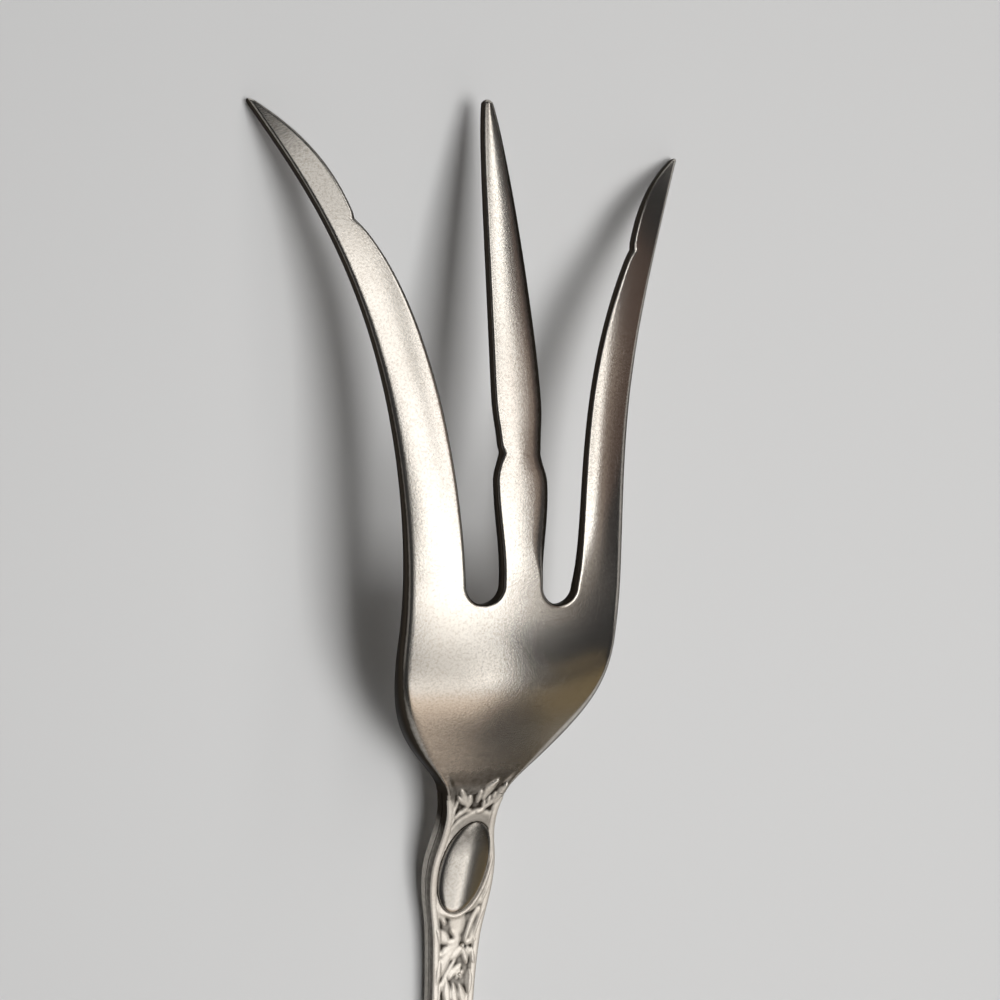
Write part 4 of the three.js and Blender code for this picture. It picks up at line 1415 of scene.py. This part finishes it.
class ForkStudio(bpy.types.PropertyGroup):
    """Lights round the fork"""

    overhead: radiance("Overhead", "Brightness of the wide soft panels overhead and in front", 0.78)
    rear: radiance("Rear", "Brightness of the soft panels beyond the tips", 1.5)
    key: radiance("Key", "Brightness of the panel over the fork that casts the shadows", 9.6)
    side: radiance("Side", "Brightness of the tan panel on the right", 0.12)
    front_card: radiance("Front Card", "Brightness of the upright card before the handle", 1.1)
    ochre: radiance("Ochre Card", "Brightness of the low ochre card in front on the right", 0.16)
    brown: radiance("Brown Card", "Brightness of the brown card behind on the right", 0.06)
    fill: radiance("Fill", "Brightness of the cards on both sides that only the metal mirrors", 0.4)
    surround: radiance("Surround", "Brightness of the surroundings", 0.02)


# Operators

class FORK_OT_head(bpy.types.Operator):
    """Makes the bowl, neck, tines and tang"""

    bl_idname = "fork.make_head"
    bl_label = "Make Head"

    def execute(self, context):
        piece = make_head(context.scene.fork_head, context.scene.fork_handle, finish("head"))
        fit_piece(piece, "head_silver", "fork_head")
        return {"FINISHED"}


class FORK_OT_handle(bpy.types.Operator):
    """Makes both struck shells of the handle with their relief"""

    bl_idname = "fork.make_handle"
    bl_label = "Make Handle"

    def execute(self, context):
        settings, material = context.scene.fork_handle, finish("handle")
        back = make_shell("handle_back_silver", 1, back_face(settings), settings, material)
        fit_piece(back, "handle_silver", "handle_back_shell")
        front = make_shell("handle_front_silver", -1, front_face(settings), settings, material)
        fit_piece(front, "handle_silver", "handle_front_shell")
        return {"FINISHED"}


class FORK_OT_trim(bpy.types.Operator):
    """Makes the edge thread and the berries of the handle"""

    bl_idname = "fork.make_trim"
    bl_label = "Make Trim"

    def execute(self, context):
        settings, material = context.scene.fork_handle, finish("handle")
        fit_piece(make_threads(settings, material), "handle_silver")
        fit_piece(make_berries(material), "handle_silver")
        return {"FINISHED"}


class FORK_OT_plate(bpy.types.Operator):
    """Makes the domed oval plate"""

    bl_idname = "fork.make_plate"
    bl_label = "Make Oval Plate"

    def execute(self, context):
        fit_piece(make_plate(context.scene.fork_handle, finish("plate")), "plate_silver", "oval_plate")
        return {"FINISHED"}


class FORK_OT_filler(bpy.types.Operator):
    """Gives the cement core inside the handle its finish"""

    bl_idname = "fork.finish_filler"
    bl_label = "Finish Filler"

    def execute(self, context):
        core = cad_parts["handle_filler"]
        core.data.materials.clear()
        core.data.materials.append(cement_finish(context.scene.fork_colours))
        return {"FINISHED"}


class FORK_OT_stage(bpy.types.Operator):
    """Sets up the table, the lamps, the surroundings and the camera"""

    bl_idname = "fork.make_stage"
    bl_label = "Make Stage"

    def execute(self, context):
        studio, colours = context.scene.fork_studio, context.scene.fork_colours
        make_table(colours)
        make_lamps(studio)
        make_surround(studio)
        make_camera()
        context.scene.view_settings.view_transform = "Standard"
        return {"FINISHED"}


TABLE_HALF, TABLE_GAP = 1.6, 0.02 * MM


def make_table(colours):
    """The pale table, just under the fork."""
    mesh = bpy.data.meshes.new("table")
    turns = ((-1, -1), (1, -1), (1, 1), (-1, 1))
    corners = [(x * TABLE_HALF, y * TABLE_HALF, -TABLE_GAP) for x, y in turns]
    mesh.from_pydata(corners, [], [(0, 1, 2, 3)])
    table = bpy.data.objects.new("table", mesh)
    material = bpy.data.materials.new("Pale table")
    material.use_nodes = True
    shader = material.node_tree.nodes["Principled BSDF"]
    shader.inputs["Base Color"].default_value = opaque(colours.table)
    shader.inputs["Roughness"].default_value = 0.6
    mesh.materials.append(material)
    bpy.context.scene.collection.objects.link(table)


LAMP_HEIGHT = 0.6
WHITE, TAN, OCHRE, BROWN = (1.0, 0.985, 0.965), (1.0, 0.84, 0.7), (1.0, 0.74, 0.34), (1.0, 0.55, 0.36)
FRONT_CARD_AT, FRONT_CARD_LEFT = -1.0, 0.12
BOWL_MIDDLE = Vector((0, 0.045, 0.01))
UPRIGHT = math.pi / 2


def make_lamp(name, place, turn, size, brightness, colour_of):
    """A flat lamp or lit card, as bright as told whatever its size."""
    data = bpy.data.lights.new(name, "AREA")
    data.shape = "RECTANGLE"
    data.size, data.size_y = size
    data.energy = brightness * math.pi * size[0] * size[1]
    data.color = colour_of
    lamp = bpy.data.objects.new(name, data)
    lamp.location = place
    lamp.rotation_euler = turn
    bpy.context.scene.collection.objects.link(lamp)
    return lamp


def make_lamps(studio):
    """Panels overhead, upright cards in front, coloured cards and fills for the sides."""
    for name, (left, right), (front, rear), lean, brightness, colour_of in (
        ("Overhead panel", (-0.05, 0.39), (-0.4, 0.05), 0.0, studio.overhead, WHITE),
        ("Front panel", (-0.06, 0.37), (-1.3, -0.4), 0.0, studio.overhead, WHITE),
        ("Front strip", (-0.05, 0.19), (-1.4, -0.42), -0.42, 1.6 * studio.overhead, WHITE),
        ("Rear panel left", (-0.06, 0.24), (0.05, 1.25), 0.0, studio.rear, WHITE),
        ("Blade panel", (0.78, 1.2), (1.25, 1.95), -0.68, 0.52 * studio.rear, WHITE),
        ("Rear panel right", (0.2, 0.43), (0.05, 2.4), 0.165, studio.rear, WHITE),
        ("Tip panel", (0.19, 0.41), (1.1, 2.4), 0.22, 2.2 * studio.rear, WHITE),
        ("Key panel", (-0.02, 0.39), (-0.34, 0.16), 0.0, studio.key, WHITE),
        ("Side panel", (0.46, 0.85), (-0.3, 1.0), 0.165, studio.side, TAN),
    ):
        across, along = (left + right) / 2, (front + rear) / 2
        place = Vector((across + lean * along, along, 1.0)) * LAMP_HEIGHT
        size = (LAMP_HEIGHT * (right - left), LAMP_HEIGHT * (rear - front) * math.hypot(1, lean))
        make_lamp(name, place, (0, 0, -math.atan(lean)), size, brightness, colour_of)
    for i, (low, high, right, share) in enumerate((
        (0.52, 0.78, 0.54, 0.92), (0.38, 0.52, 0.48, 0.8),
        (0.25, 0.38, 0.4, 0.66), (0.05, 0.25, 0.28, 0.3),
    )):
        place = ((right - FRONT_CARD_LEFT) / 2, FRONT_CARD_AT, (low + high) / 2)
        size = (right + FRONT_CARD_LEFT, high - low)
        brightness, colour_of = share * studio.front_card, TAN if i else WHITE
        make_lamp(f"Front card {i + 1}", place, (UPRIGHT, 0, 0), size, brightness, colour_of)
    for name, place, size, brightness, colour_of in (
        ("Ochre card", (0.4, -0.4, 0.14), (0.26, 0.2), studio.ochre, OCHRE),
        ("Ochre strip", (0.46, -0.4, 0.36), (0.2, 0.05), studio.ochre, OCHRE),
        ("Brown card", (0.35, 0.3, 0.36), (0.3, 0.4), studio.brown, BROWN),
    ):
        turn = (BOWL_MIDDLE - Vector(place)).to_track_quat("-Z", "Y").to_euler()
        make_lamp(name, place, turn, size, brightness, colour_of)
    for name, place, face, size in (
        ("Left fill", (-1.0, 0.1, 0.42), -UPRIGHT, (2.0, 0.6)),
        ("Right fill", (1.2, 0.25, 0.33), UPRIGHT, (1.1, 0.44)),
    ):
        fill = make_lamp(name, place, (UPRIGHT, 0, face), size, studio.fill, WHITE)
        fill.visible_diffuse = False


def make_surround(studio):
    """The dim room round the table."""
    world = bpy.data.worlds.new("Surroundings")
    world.use_nodes = True
    tree = world.node_tree
    tree.nodes.clear()
    light = add(tree, "ShaderNodeBackground", {
        "Color": (0.9, 0.93, 1.0, 1), "Strength": studio.surround,
    })
    add(tree, "ShaderNodeOutputWorld", {"Surface": light.outputs["Background"]})
    bpy.context.scene.world = world


def make_camera():
    data = bpy.data.cameras.new("Photograph view")
    data.lens, data.sensor_width = LENS, SENSOR
    data.clip_start = 0.001
    camera = bpy.data.objects.new("Photograph view", data)
    right, up, back = Vector(CAMERA_RIGHT), -Vector(CAMERA_DOWN), -Vector(CAMERA_FORWARD)
    turn = Matrix((right, up, back)).transposed().to_quaternion().normalized()
    camera.matrix_world = Matrix.Translation(CAMERA_AT) @ turn.to_matrix().to_4x4()
    bpy.context.scene.collection.objects.link(camera)
    bpy.context.scene.camera = camera


class FORK_PT_panel(bpy.types.Panel):
    """Lists the steps and settings of the fork"""

    bl_label = "Serving Fork"
    bl_idname = "FORK_PT_panel"
    bl_space_type = "VIEW_3D"
    bl_region_type = "UI"
    bl_category = "Fork"

    def draw(self, context):
        for operator in OPERATORS:
            self.layout.operator(operator.bl_idname)
        for group in GROUPS:
            box = self.layout.box()
            for name in GROUPS[group].__annotations__:
                box.prop(getattr(context.scene, group), name)


GROUPS = {
    "fork_head": ForkHeadSettings,
    "fork_handle": ForkHandleSettings,
    "fork_colours": ForkColours,
    "fork_studio": ForkStudio,
}
OPERATORS = (FORK_OT_head, FORK_OT_handle, FORK_OT_trim, FORK_OT_plate, FORK_OT_filler, FORK_OT_stage)


def register():
    for made in (*GROUPS.values(), *OPERATORS, FORK_PT_panel):
        bpy.utils.register_class(made)
    for name, group in GROUPS.items():
        setattr(bpy.types.Scene, name, PointerProperty(type=group))


def unregister():
    for name in GROUPS:
        delattr(bpy.types.Scene, name)
    for made in (FORK_PT_panel, *OPERATORS, *GROUPS.values()):
        bpy.utils.unregister_class(made)


def main():
    register()
    bpy.ops.fork.make_head()
    bpy.ops.fork.make_handle()
    bpy.ops.fork.make_trim()
    bpy.ops.fork.make_plate()
    bpy.ops.fork.finish_filler()
    bpy.ops.fork.make_stage()


if __name__ == "__main__":
    main()
